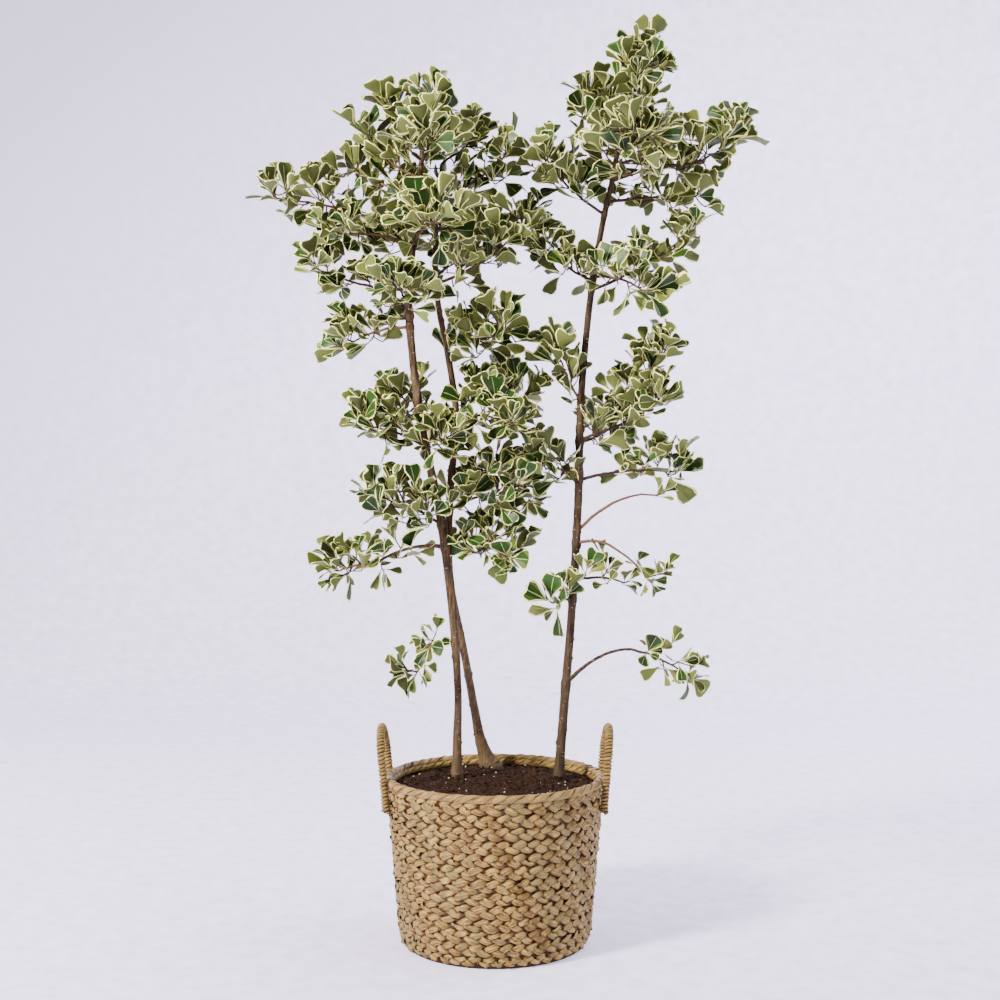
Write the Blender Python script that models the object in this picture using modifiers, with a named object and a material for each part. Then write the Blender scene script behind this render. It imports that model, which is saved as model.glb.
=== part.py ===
"""Potted sweetheart triangle fig: three slim stems in a plaited basket, with boughs and masses of leaves.

The origin is the middle of the basket's underside. +Z is up, -Y is the front and +X is the right.
"""
import math
import random

import bmesh
import bpy
from mathutils import Matrix, Vector
from mathutils.bvhtree import BVHTree

MM = 0.001
GAP = 0.3 * MM
UP = Vector((0.0, 0.0, 1.0))
GOLDEN = math.radians(137.5)

# Basket
BASKET_HEIGHT = 302 * MM
BASE_RADIUS = 174 * MM
RIM_RADIUS = 200 * MM
FOOT_RADIUS = 166 * MM
WALL = 12 * MM
FLOOR = 12 * MM
ROWS = 17
ROW_DEPTH = 2.2 * MM
FIRST_ROW = 9 * MM
LAST_ROW = 289 * MM
TURNED_STEPS = 28

# Soil, with its flat top at ground level
SOIL_TOP = 285 * MM

# Handles
HANDLE_ROPE = 7.7 * MM
HANDLE_HALF_WIDTH = 62 * MM
HANDLE_FOOT = 244 * MM
HANDLE_SHOULDER = 318 * MM
HANDLE_TOP = 385 * MM
HANDLE_LEAN = 9 * MM
HANDLE_SIDES = 8

# Limbs
STEM_SIDES = 8
STEM_RING_STEP = 75 * MM
FOOT_RINGS = (0.0, 8 * MM, 20 * MM, 38 * MM, 64 * MM)
BOUGH_SIDES = 6
BOUGH_RINGS = 7
SPRAY_STEM_SIDES = 4
SPRAY_STEM_RINGS = 5
TWIG_SIDES = 3

# Leaves
LEAF_LENGTH = 55 * MM
LEAF_WIDTH = 0.92
LEAF_THICK = 1.0 * MM
LEAF_GUARD = 1.0 * MM
NODE = 4.5 * MM
TWIG_RADII = (0.7 * MM, 1.8 * MM, 1.6 * MM)
SPACE_GUARD = 0.03
TIP_CORNERS = {
    3: (((-1, 0), (1, -1), (1, 1)), ((1, 0), (-1, 1), (-1, -1))),
    4: (((-1, -1), (1, -1), (1, 1), (-1, 1)),),
}

BARK = (0.30, 0.22, 0.16, 1)
LEAF = (0.33, 0.42, 0.24, 1)
STRAW = (0.58, 0.44, 0.25, 1)
EARTH = (0.07, 0.04, 0.03, 1)

# Each stem: stations of height, x, y and radius in mm, then its flare at the foot:
# how much wider, over what height in mm, how many folds, and the bearing it leans its foot to
STEMS = {
    "stem_left": (
        ((285.3, -71, 45, 9.0), (364, -70, 43, 8.0), (448, -69, 40, 6.8), (615, -80, 30, 8.5),
         (772, -101, 20, 8.3), (960, -138, 5, 7.3), (1179, -158, -5, 7.0), (1318, -140, -15, 5.2),
         (1504, -128, -26, 2.8)),
        (0.45, 16, 4, -70),
    ),
    "stem_middle": (
        ((285.3, -13, 140, 10.5), (339, -29, 133, 9.2), (407, -41, 118, 8.0), (524, -61, 88, 7.4),
         (658, -85, 60, 7.0), (811, -84, 46, 6.8), (944, -72, 50, 6.4), (1060, -86, 50, 6.0),
         (1173, -107, 50, 5.4), (1286, -111, 57, 4.8), (1430, -101, 72, 2.8)),
        (0.85, 24, 3, -15),
    ),
    "stem_right": (
        ((285.3, 117, 32, 9.2), (466, 131, 30, 8.0), (577, 140, 30, 7.6), (792, 153, 30, 7.2),
         (980, 158, 25, 6.6), (1162, 174, 20, 6.0), (1306, 197, 15, 5.4), (1388, 215, 10, 4.6),
         (1472, 230, 6, 3.4), (1537, 252, 2, 2.5)),
        (0.3, 14, 5, 10),
    ),
}

# Each bough: the limb it grows from, height on it, bearing in degrees, reach, rise, how far its
# middle stands over a straight line, and its radius at each end, in mm
BOUGHS = {
    "bough_left_far": ("stem_left", 1310, -172, 131, 12, -8, 3.0, 2.2),
    "bough_left_low": ("stem_left", 713, 178, 130, -31, 14, 2.6, 2.0),
    "bough_right_far": ("stem_right", 1386, -8, 141, 24, 6, 3.0, 2.2),
    "bough_right_arch": ("stem_right", 461, -10, 118, 66, 16, 2.6, 2.0),
}

# Each mass of leaves: the limb that its stem meets (a height on it, or None for the limb's tip),
# bearing, reach, rise and arch, the share of its stem that is bare, half the width of its space and
# the height of it over the stem, how far its twig ends turn up, its twigs, leaves and seed
MASSES = {
    "leaves_left_top": ("stem_left", None, -31, 14, 20, 0, 0.2, 46, 36, 0.5, 4, 13, 11),
    "leaves_left_high": ("stem_left", 1381, -170, 92, 62, -8, 0.1, 42, 36, 0.5, 5, 16, 12),
    "leaves_left_peak": ("stem_left", 1433, 140, 52, 50, -4, 0.1, 44, 40, 0.5, 5, 16, 13),
    "leaves_left_far": ("bough_left_far", None, -178, 98, 20, 2, 0.02, 44, 40, 0.4, 5, 17, 14),
    "leaves_left_back_high": ("stem_left", 1352, 150, 140, 60, -6, 0.08, 52, 46, 0.5, 6, 19, 15),
    "leaves_left_mid_upper": ("stem_left", 1262, -152, 132, 8, 8, 0.06, 50, 42, 0.4, 6, 19, 16),
    "leaves_left_mid": ("stem_left", 1182, -170, 138, 30, -10, 0.1, 44, 38, 0.2, 5, 16, 17),
    "leaves_left_front_high": ("stem_left", 1406, -78, 130, 10, 4, 0.1, 54, 46, 0.5, 6, 19, 18),
    "leaves_left_front": ("stem_left", 1272, -72, 150, 5, 6, 0.06, 56, 50, 0.4, 7, 22, 19),
    "leaves_left_front_low": ("stem_left", 1140, -92, 125, 22, 0, 0.06, 54, 46, 0.4, 6, 18, 20),
    "leaves_left_back": ("stem_left", 1245, 105, 140, 76, -10, 0.08, 54, 46, 0.5, 6, 18, 21),
    "leaves_middle_top": ("stem_middle", None, -11, 55, 48, 0, 0.1, 50, 46, 0.5, 5, 17, 22),
    "leaves_middle_high": ("stem_middle", 1361, -6, 105, 74, -8, 0.15, 44, 42, 0.5, 6, 18, 23),
    "leaves_middle_right": ("stem_middle", 1204, -10, 148, 70, -16, 0.12, 50, 46, 0.4, 6, 21, 24),
    "leaves_middle_front": ("stem_middle", 1285, -84, 150, -10, 6, 0.06, 50, 46, 0.4, 6, 19, 25),
    "leaves_middle_back": ("stem_middle", 1215, 70, 150, 116, -10, 0.15, 56, 48, 0.5, 6, 18, 27),
    "leaves_left_lower": ("stem_left", 1115, 177, 118, -20, 10, 0.04, 46, 48, 0.3, 6, 18, 128),
    "leaves_left_centre": ("stem_left", 983, 150, 74, 0, 8, 0.05, 46, 46, 0.4, 5, 17, 29),
    "leaves_left_out": ("stem_left", 897, -166, 112, 36, 8, 0.06, 42, 38, 0.3, 5, 17, 30),
    "leaves_left_tuft": ("stem_left", 905, -62, 74, 0, 4, 0.08, 48, 44, 0.4, 5, 15, 26),
    "leaves_left_low": ("bough_left_low", None, -167, 66, -4, 4, 0.02, 46, 40, 0.3, 5, 16, 131),
    "leaves_left_low_upper": ("stem_left", 754, -155, 130, 24, 6, 0.06, 46, 46, 0.4, 6, 20, 32),
    "leaves_left_sprig": ("stem_left", 535, -142, 78, -24, 26, 0.3, 40, 28, -0.2, 4, 13, 33),
    "leaves_middle_upper": ("stem_middle", 1088, -25, 106, 36, -6, 0.1, 46, 42, 0.4, 6, 19, 34),
    "leaves_middle_centre": ("stem_middle", 995, 16, 122, 16, 4, 0.06, 50, 42, 0.4, 6, 20, 35),
    "leaves_middle_centre_low": ("stem_middle", 949, -38, 128, -14, 12, 0.1, 46, 38, 0.3, 6, 18, 36),
    "leaves_middle_low": ("stem_middle", 780, 3, 108, 44, 8, 0.06, 50, 46, 0.3, 6, 20, 37),
    "leaves_middle_droop": ("stem_middle", 707, -24, 120, -20, 14, 0.12, 44, 38, 0.1, 6, 18, 38),
    "leaves_right_top": ("stem_right", None, -4, 22, 48, 0, 0.05, 46, 34, 0.5, 6, 20, 39),
    "leaves_right_top_left": ("stem_right", 1462, -150, 58, 42, -4, 0.1, 50, 46, 0.5, 5, 17, 40),
    "leaves_right_far": ("bough_right_far", None, -6, 70, 20, -4, 0.02, 44, 38, 0.4, 6, 20, 41),
    "leaves_right_far_low": ("stem_right", 1345, 13, 150, 14, 4, 0.15, 40, 36, 0.3, 5, 16, 42),
    "leaves_right_high_front": ("stem_right", 1400, -78, 128, 10, 4, 0.06, 52, 46, 0.4, 6, 19, 43),
    "leaves_right_high_back": ("stem_right", 1415, 62, 140, 20, -4, 0.06, 54, 48, 0.5, 6, 20, 44),
    "leaves_right_high_left": ("stem_right", 1324, -164, 102, 66, -8, 0.12, 44, 44, 0.5, 6, 19, 45),
    "leaves_right_upper_left": ("stem_right", 1202, 176, 72, 50, -6, 0.1, 44, 40, 0.4, 5, 16, 46),
    "leaves_right_mid_out": ("stem_right", 1186, 2, 150, 60, -10, 0.25, 44, 38, 0.4, 5, 16, 47),
    "leaves_right_mid_low": ("stem_right", 1210, -34, 142, -8, 10, 0.12, 40, 36, 0.3, 5, 16, 48),
    "leaves_right_centre": ("stem_right", 931, -11, 126, 172, -16, 0.45, 44, 40, 0.4, 6, 20, 49),
    "leaves_right_inner": ("stem_right", 911, -30, 128, 24, -6, 0.1, 46, 42, 0.4, 6, 20, 50),
    "leaves_right_out_low": ("stem_right", 836, 4, 172, 36, 10, 0.5, 42, 38, 0.3, 5, 16, 51),
    "leaves_right_out_sprig": ("stem_right", 742, -6, 158, 66, 24, 0.85, 26, 24, 0.4, 1, 5, 52),
    "leaves_right_droop": ("stem_right", 722, -24, 140, -66, 26, 0.6, 28, 26, 0.0, 2, 8, 53),
    "leaves_right_low_spray": ("stem_right", 651, -17, 96, 6, 8, 0.1, 28, 30, 0.4, 4, 11, 54),
    "leaves_right_arch": ("bough_right_arch", None, -5, 84, -30, 6, 0.05, 40, 34, -0.2, 5, 16, 55),
    "leaves_right_low_left": ("stem_right", 615, -128, 84, 14, 4, 0.1, 42, 34, 0.3, 5, 16, 56),
    "leaves_right_left_mid": ("stem_right", 980, -145, 44, 96, -6, 0.15, 40, 36, 0.4, 5, 15, 57),
    "leaves_right_left_low": ("stem_right", 850, 168, 74, 44, -4, 0.12, 42, 38, 0.4, 5, 15, 59),
    "leaves_right_back": ("stem_right", 905, 52, 140, 52, -8, 0.1, 50, 44, 0.4, 6, 18, 58),
}


# Scene and materials

def clear_scene():
    for ob in list(bpy.data.objects):
        bpy.data.objects.remove(ob)


def material(name, colour, roughness):
    mat = bpy.data.materials.new(name)
    mat.use_nodes = True
    shader = mat.node_tree.nodes["Principled BSDF"]
    shader.inputs["Base Color"].default_value = colour
    shader.inputs["Roughness"].default_value = roughness
    return mat


def object_from(bm, name, collection):
    bmesh.ops.triangulate(bm, faces=bm.faces[:])
    mesh = bpy.data.meshes.new(name)
    bm.to_mesh(mesh)
    bm.free()
    ob = bpy.data.objects.new(name, mesh)
    collection.objects.link(ob)
    return ob


def surface_of(ob):
    bm = bmesh.new()
    bm.from_mesh(ob.data)
    tree = BVHTree.FromBMesh(bm)
    bm.free()
    return tree


# Paths

def spline(stations, count):
    """Points on a smooth curve through stations of any length, evenly spread over them."""
    last = len(stations) - 1
    points = []
    for k in range(count):
        at = k / (count - 1) * last
        i = min(int(at), last - 1)
        t = at - i
        four = [stations[min(max(i + j, 0), last)] for j in (-1, 0, 1, 2)]
        points.append(tuple(
            0.5 * (2 * b + (c - a) * t + (2 * a - 5 * b + 4 * c - d) * t ** 2
                   + (3 * b - a - 3 * c + d) * t ** 3)
            for a, b, c, d in zip(*four)
        ))
    return points


def bend(start, end, arch, count):
    """A limb's path: its middle stands over the straight line by arch."""
    middle = (start + end) / 2 + UP * 2 * arch
    return [
        start * (1 - t) ** 2 + middle * 2 * t * (1 - t) + end * t ** 2
        for t in (k / (count - 1) for k in range(count))
    ]


def along_path(path, share):
    """The point and the direction at a share of the way along a path."""
    at = min(max(share, 0.0), 1.0) * (len(path) - 1)
    i = min(int(at), len(path) - 2)
    step = path[i + 1] - path[i]
    return path[i] + step * (at - i), step.normalized()


def heading(bearing):
    return Vector((math.cos(math.radians(bearing)), math.sin(math.radians(bearing)), 0.0))


# Limbs

def tube(path, radii, sides, facing=None, folds=None):
    """A closed limb: a cone cut into rings, each set on the path and sized there."""
    rings = len(path)
    bm = bmesh.new()
    bmesh.ops.create_cone(bm, cap_ends=True, segments=sides, radius1=1, radius2=1, depth=1)
    for k in range(1, rings - 1):
        bmesh.ops.bisect_plane(
            bm, geom=bm.verts[:] + bm.edges[:] + bm.faces[:], dist=1e-6,
            plane_co=(0, 0, k / (rings - 1) - 0.5), plane_no=(0, 0, 1),
        )
    tangents = [
        (path[min(k + 1, rings - 1)] - path[max(k - 1, 0)]).normalized() for k in range(rings)
    ]
    if facing is not None:
        tangents[0] = facing
    side = tangents[0].orthogonal().normalized()
    frames = []
    for k, tangent in enumerate(tangents):
        if k:
            side = tangents[k - 1].rotation_difference(tangent) @ side
        side = (side - tangent * side.dot(tangent)).normalized()
        frames.append((side.copy(), tangent.cross(side)))
    ring = bm.verts.layers.int.new("ring")
    for v in bm.verts:
        k = round((v.co.z + 0.5) * (rings - 1))
        across, over = frames[k]
        out = across * v.co.x + over * v.co.y
        size = radii[k] * (folds(path[k], out) if folds else 1.0)
        v.co = path[k] + out * size
        v[ring] = k
    return bm


def stem_shape(stations, flare):
    """A stem's path, radii and flared foot, from a flat cut at ground level to its tip."""
    fine = [(Vector((x, y, z)) * MM, r * MM) for z, x, y, r in spline(stations, 160)]
    foot = fine[0][0].z
    top = fine[-1][0].z
    count = round((top - foot - FOOT_RINGS[-1]) / STEM_RING_STEP)
    heights = [foot + h for h in FOOT_RINGS]
    heights += [heights[-1] + (top - heights[-1]) * (k + 1) / count for k in range(count)]
    path, radii = [], []
    for height in heights:
        place, radius = min(fine, key=lambda item: abs(item[0].z - height))
        path.append(Vector((place.x, place.y, height)))
        radii.append(radius)
    wider, over, count, bearing = flare

    def folds(place, out):
        turn = math.atan2(out.y, out.x) - math.radians(bearing)
        fade = math.exp(-(place.z - foot) / (over * MM))
        return 1 + fade * wider * (1 + 0.3 * math.cos(count * turn) + 0.5 * math.cos(turn))

    return path, radii, folds


def limb_at(limb, height):
    """The point of a limb's path at a height, or its tip, with its direction there."""
    path = limb["path"]
    if height is None:
        return path[-1], (path[-1] - path[-2]).normalized()
    for a, b in zip(path, path[1:]):
        if a.z <= height <= b.z:
            return a.lerp(b, (height - a.z) / (b.z - a.z)), (b - a).normalized()
    raise ValueError("no limb at that height")


def joint(limb, height, out, radius):
    """Where a limb's first ring stands a gap clear of the limb it grows from, and how it faces."""
    place, direction = limb_at(limb, height)
    if height is None:
        return place + direction * GAP, direction
    out = (out - direction * out.dot(direction)).normalized()
    across = out.cross(direction)
    reach = 0.0
    for k in range(9):
        turn = math.radians(45 * k)
        offset = across * math.cos(turn) + direction * math.sin(turn) if k < 8 else Vector()
        origin = place + offset * radius + out * 60 * MM
        hit = limb["surface"].ray_cast(origin, -out)[0]
        if hit is not None:
            reach = max(reach, (hit - place).dot(out))
    return place + out * (reach + GAP), out


def grow_limb(limb, height, bearing, reach, rise, arch, radii, sides, rings, lift=None):
    """The path and the shape of a bough, or of a mass's stem, from its joint to its tip."""
    out = heading(bearing)
    height = None if height is None else height * MM
    root = limb_at(limb, height)[0]
    tip = root + out * reach * MM + UP * rise * MM
    toward = bend(root, tip, arch * MM, 12)[2] - root
    start, facing = joint(limb, height, toward, radii[0] * MM)
    path = bend(start, tip, arch * MM, rings)
    sizes = [(radii[0] + (radii[1] - radii[0]) * k / (rings - 1)) * MM for k in range(rings)]
    if lift is not None:
        path.append(path[-1] + turned_up((path[-1] - path[-2]).normalized(), lift) * NODE)
        sizes.append(sizes[-1])
    return path, tube(path, sizes, sides, facing)


# Leaves and twigs

def leaf_end(root, along, face, length, guard=0.0):
    """The middle of a leaf's broad tip, its half width across and its half thickness."""
    return root + along * (length + guard), face.cross(along) * (length * LEAF_WIDTH / 2 + guard), (
        face * (LEAF_THICK / 2 + guard)
    )


def leaf_guard(root, along, face, length, share=0.11):
    """A block a little larger than a leaf, from a share of its length to its tip."""
    bm = bmesh.new()
    bmesh.ops.create_cube(bm, size=2)
    end, across, over = leaf_end(root, along, face, length, LEAF_GUARD)
    for v in bm.verts:
        reach = 1.0 if v.co.x > 0 else share
        v.co = root.lerp(end, reach) + across * v.co.y * reach + over * v.co.z
    return bm


def draw_leaf(bm, face, root, along, up, length):
    """Draws a face of a twig out into a leaf: an inverted triangle, thin toward its broad tip."""
    end, across, over = leaf_end(root, along, up, length)
    drawn = bmesh.ops.extrude_discrete_faces(bm, faces=[face])["faces"][0]
    verts = [loop.vert for loop in drawn.loops]
    orders = [
        corners[turn:] + corners[:turn]
        for corners in TIP_CORNERS[len(verts)] for turn in range(len(verts))
    ]

    def untwisted(order):
        return sum(
            (v.co - root).dot(across.normalized() * a + over.normalized() * b)
            for v, (a, b) in zip(verts, order)
        )

    for v, (a, b) in zip(verts, max(orders, key=untwisted)):
        v.co = end + across * a + over * b


def leaf_pose(rng, axis, out, tilt):
    """The direction and the upper face of a leaf that stands at a tilt from an axis."""
    along = (axis * math.cos(tilt) + out * math.sin(tilt)).normalized()
    face = (axis - along * axis.dot(along)).normalized()
    roll = Matrix.Rotation(rng.uniform(-0.4, 0.4), 3, along)
    return along, (roll @ face).normalized()


def twig_path(rng, path, bare, wide, tall, lift_end, index, count):
    """A twig turned round its stem by the golden angle, with a short erect end that holds leaves."""
    share = bare + (1 - bare) * (index + rng.uniform(0.15, 0.75)) / count
    root, direction = along_path(path, share)
    turn = GOLDEN * index + rng.uniform(-0.35, 0.35)
    side = direction.cross(UP).normalized()
    lift = side.cross(direction)
    across, over = math.cos(turn) * wide, math.sin(turn) * tall
    over = over if over > 0 else over * 0.55
    fill = rng.uniform(0.5, 0.7) if index % 3 == 1 else rng.uniform(0.88, 1.12)
    room = math.hypot(across, over) * fill * (1 - 0.25 * share)
    length = max(room - 0.35 * LEAF_LENGTH, 13 * MM)
    away = (side * across + lift * over).normalized()
    away = (away * 0.8 + direction * 0.5 + UP * 0.3).normalized()
    neck = root + away * length
    return [root, neck, neck + turned_up(away, lift_end) * NODE]


def turned_up(direction, lift):
    return (direction * 0.6 + UP * lift).normalized()


def leaf_places(bm, last):
    """The side faces of a shoot's last short segment, in turn, then its end face."""
    bm.normal_update()
    ring = bm.verts.layers.int["ring"]
    sides = [f for f in bm.faces if {v[ring] for v in f.verts} == {last - 1, last}]
    ends = [f for f in bm.faces if {v[ring] for v in f.verts} == {last}]
    return sides, ends


class Spaces:
    """Each mass keeps to the points that lie nearest its own stem, measured by its size."""

    def __init__(self):
        self.stems = {}

    def add(self, name, path, size):
        self.stems[name] = (path, size)

    def distance(self, name, point):
        path, size = self.stems[name]
        best = 1e9
        for a, b in zip(path, path[1:]):
            step = b - a
            t = min(max((point - a).dot(step) / step.length_squared, 0.0), 1.0)
            best = min(best, (point - a - step * t).length)
        return best / size

    def holds(self, name, points):
        path, size = self.stems[name]
        middle = path[len(path) // 2]
        near = [
            other for other, (there, room) in self.stems.items()
            if other != name and (there[len(there) // 2] - middle).length < 0.45
        ]
        for point in points:
            own = self.distance(name, point)
            if any(self.distance(other, point) < own + SPACE_GUARD for other in near):
                return False
        return True


def touches(tree, trees):
    return any(tree.overlap(other) for other in trees)


def fuse(name, stem, pieces, collection):
    """One union joins a mass: its stem, twigs and leaves. Loose scraps and sealed hollows go."""
    helpers = bpy.data.collections.new(name + "_pieces")
    bpy.context.scene.collection.children.link(helpers)
    ob = object_from(stem, name, collection)
    for k, piece in enumerate(pieces):
        object_from(piece, f"{name}_piece_{k}", helpers)
    union = ob.modifiers.new("union", "BOOLEAN")
    union.operation = "UNION"
    union.operand_type = "COLLECTION"
    union.collection = helpers
    union.solver = "EXACT"
    bpy.context.view_layer.objects.active = ob
    with bpy.context.temp_override(object=ob, active_object=ob):
        bpy.ops.object.modifier_apply(modifier=union.name)
    for piece in list(helpers.objects):
        bpy.data.objects.remove(piece)
    bpy.data.collections.remove(helpers)
    keep_largest(ob)
    return ob


def keep_largest(ob):
    """Keeps the largest closed body of a mesh, without scraps and inner walls."""
    bm = bmesh.new()
    bm.from_mesh(ob.data)
    bm.verts.ensure_lookup_table()
    groups, seen = [], set()
    for start in bm.verts:
        if start.index in seen:
            continue
        seen.add(start.index)
        group, queue = [start], [start]
        while queue:
            for edge in queue.pop().link_edges:
                for v in edge.verts:
                    if v.index not in seen:
                        seen.add(v.index)
                        group.append(v)
                        queue.append(v)
        groups.append(group)
    groups.sort(key=len)
    loose = [v for group in groups[:-1] for v in group]
    bmesh.ops.delete(bm, geom=loose, context="VERTS")
    bmesh.ops.triangulate(bm, faces=bm.faces[:])
    bm.to_mesh(ob.data)
    bm.free()


# Basket, soil and handles

def wall_radius(height):
    return BASE_RADIUS + (RIM_RADIUS - BASE_RADIUS) * height / BASKET_HEIGHT


def turned(name, profile, collection):
    """A Screw turns a profile of radius and height round the Z axis."""
    bm = bmesh.new()
    verts = [bm.verts.new((radius, 0.0, height)) for radius, height in profile]
    for a, b in zip(verts, verts[1:]):
        bm.edges.new((a, b))
    ob = object_from(bm, name, collection)
    screw = ob.modifiers.new("turn", "SCREW")
    screw.steps = TURNED_STEPS
    screw.render_steps = TURNED_STEPS
    screw.use_merge_vertices = True
    screw.merge_threshold = 1e-5
    screw.use_smooth_shade = False
    return ob


def basket_profile():
    """Inner floor, inner wall and rim, then the rows of plait down the outside."""
    inner = [(0.0, FLOOR), (wall_radius(FLOOR) - WALL, FLOOR)]
    inner += [(wall_radius(BASKET_HEIGHT) - WALL, BASKET_HEIGHT - 6 * MM)]
    rim = [
        (RIM_RADIUS - 0.72 * WALL, BASKET_HEIGHT),
        (RIM_RADIUS - 0.3 * WALL, BASKET_HEIGHT),
        (RIM_RADIUS, BASKET_HEIGHT - 5 * MM),
    ]
    pitch = (LAST_ROW - FIRST_ROW) / ROWS
    rows = []
    for k in range(ROWS):
        top = LAST_ROW - k * pitch
        middle = top - pitch / 2
        rows.append((wall_radius(top) - ROW_DEPTH, top))
        rows.append((wall_radius(middle), middle))
    foot = [
        (wall_radius(FIRST_ROW) - ROW_DEPTH, FIRST_ROW),
        (FOOT_RADIUS + 4.5 * MM, 2 * MM),
        (FOOT_RADIUS, 0.0),
        (0.0, 0.0),
    ]
    return inner + rim + rows + foot


def soil_profile():
    bottom = FLOOR + GAP
    return [
        (0.0, SOIL_TOP),
        (wall_radius(SOIL_TOP) - WALL - 1.5 * GAP, SOIL_TOP),
        (wall_radius(bottom) - WALL - 1.5 * GAP, bottom),
        (0.0, bottom),
    ]


def handle_path(side):
    """From the foot of one leg, up over the top and down the other, close to the wall below the rim."""
    half, clear = HANDLE_HALF_WIDTH, HANDLE_ROPE + GAP
    flat = math.cos(math.pi / TURNED_STEPS)
    outline = [(half, HANDLE_FOOT), (half, BASKET_HEIGHT - 6 * MM), (half, HANDLE_SHOULDER)]
    for k in range(1, 8):
        turn = math.pi * k / 8
        outline.append((
            half * math.cos(turn), HANDLE_SHOULDER + (HANDLE_TOP - HANDLE_SHOULDER) * math.sin(turn)
        ))
    outline += [(-y, z) for y, z in outline[2::-1]]
    path = []
    for y, z in outline:
        level = min(z, BASKET_HEIGHT - 5 * MM)
        out = math.sqrt((wall_radius(level) * flat + clear) ** 2 - half ** 2)
        out += HANDLE_LEAN * max(z - BASKET_HEIGHT, 0.0) / (HANDLE_TOP - BASKET_HEIGHT)
        path.append(Vector((side * out, y, z)))
    return path


def main():
    clear_scene()
    scene = bpy.context.scene.collection
    plant = bpy.data.collections.new("potted_triangle_fig")
    scene.children.link(plant)

    made = {
        "basket": (turned("basket", basket_profile(), plant), STRAW, 0.8),
        "soil": (turned("soil", soil_profile(), plant), EARTH, 0.95),
    }
    for name, side in (("handle_left", -1), ("handle_right", 1)):
        path = handle_path(side)
        rope = tube(path, [HANDLE_ROPE] * len(path), HANDLE_SIDES, UP)
        made[name] = (object_from(rope, name, plant), STRAW, 0.8)

    limbs = {}
    for name, (stations, flare) in STEMS.items():
        path, radii, folds = stem_shape(stations, flare)
        ob = object_from(tube(path, radii, STEM_SIDES, UP, folds), name, plant)
        limbs[name] = {"path": path, "surface": surface_of(ob)}
        made[name] = (ob, BARK, 0.85)
    for name, (origin, height, bearing, reach, rise, arch, first, last) in BOUGHS.items():
        path, shape = grow_limb(
            limbs[origin], height, bearing, reach, rise, arch, (first, last), BOUGH_SIDES, BOUGH_RINGS
        )
        ob = object_from(shape, name, plant)
        limbs[name] = {"path": path, "surface": surface_of(ob), "tip": last}
        made[name] = (ob, BARK, 0.85)

    spaces = Spaces()
    stems = {}
    for name, row in MASSES.items():
        origin, height, bearing, reach, rise, arch, bare, wide, tall, up, twigs, leaves, seed = row
        first = limbs[origin].get("tip", 2.5) if height is None else 2.2 + reach / 200
        path, shape = grow_limb(
            limbs[origin], height, bearing, reach, rise, arch, (first, 1.7), SPRAY_STEM_SIDES,
            SPRAY_STEM_RINGS, up,
        )
        stems[name] = (path, shape)
        leafy = [along_path(path, bare + (1 - bare) * k / 4)[0] for k in range(5)]
        spaces.add(name, leafy, (wide + tall) / 2 * MM)

    stem_trees = {name: BVHTree.FromBMesh(shape) for name, (path, shape) in stems.items()}

    placed = {name: [] for name in MASSES}
    for name, row in MASSES.items():
        origin, height, bearing, reach, rise, arch, bare, wide, tall, up, twigs, leaves, seed = row
        path, shape = stems[name]
        others = [tree for n, tree in stem_trees.items() if n != name]
        others += [limb["surface"] for limb in limbs.values()]
        others += [tree for n, trees in placed.items() if n != name for tree in trees]
        mine = placed[name]
        mine.append(stem_trees[name])
        shoots = [(path, shape, 99)]
        for k in range(twigs):
            rng = random.Random(seed * 100 + k)
            way = twig_path(rng, path, bare, wide * MM, tall * MM, up, k, twigs)
            guard = tube(way, [2.2 * MM, 2.8 * MM, 2.6 * MM], TWIG_SIDES)
            tree = BVHTree.FromBMesh(guard)
            guard.free()
            if touches(tree, others + mine[1:]) or not spaces.holds(name, way):
                continue
            mine.append(tree)
            shoots.append((way, tube(way, TWIG_RADII, TWIG_SIDES), k))
        want = leaves / len(shoots)
        grown = 0
        for n, (way, bm, k) in enumerate(shoots):
            rng = random.Random(seed * 100 + k + 50)
            axis = (way[-1] - way[-2]).normalized()
            sides, ends = leaf_places(bm, len(way) - 1)
            rng.shuffle(sides)
            here = 0
            for face in sides + ends:
                if grown + here >= round(want * (n + 1)):
                    break
                terminal = face in ends
                root = face.calc_center_median()
                out = axis.orthogonal().normalized() if terminal else face.normal.copy()
                for attempt in range(10):
                    length = LEAF_LENGTH * rng.uniform(0.84, 1.1) * (1 - 0.025 * attempt)
                    tilt = math.radians(rng.uniform(2, 10) if terminal else rng.uniform(32, 70))
                    along, upper = leaf_pose(rng, axis, out, tilt)
                    guard = leaf_guard(root, along, upper, length)
                    corners = [v.co.copy() for v in guard.verts]
                    tree = BVHTree.FromBMesh(guard)
                    guard.free()
                    if touches(tree, others + mine):
                        continue
                    if not spaces.holds(name, corners):
                        continue
                    mine.append(tree)
                    draw_leaf(bm, face, root, along, upper, length)
                    here += 1
                    break
            grown += here
        pieces = [bm for way, bm, k in shoots[1:]]
        made[name] = (fuse(name, shape, pieces, plant), LEAF, 0.5)

    for name, (ob, colour, roughness) in made.items():
        ob.data.materials.clear()
        ob.data.materials.append(material(name, colour, roughness))


main()
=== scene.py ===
"""Looks of a potted triangle fig: its plaited basket, wrapped handles, soil, barked stems and leaves.

Run as a script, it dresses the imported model. The sizes and colours that a user would change stand in
the settings, and each group of like pieces has its own operator.
"""
import math
import random

import bmesh
import bpy
import numpy as np
from bpy.props import FloatProperty, FloatVectorProperty, IntProperty, PointerProperty
from bpy.types import Operator, Panel, PropertyGroup
from mathutils import Matrix, Vector, noise
from mathutils.bvhtree import BVHTree


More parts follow.
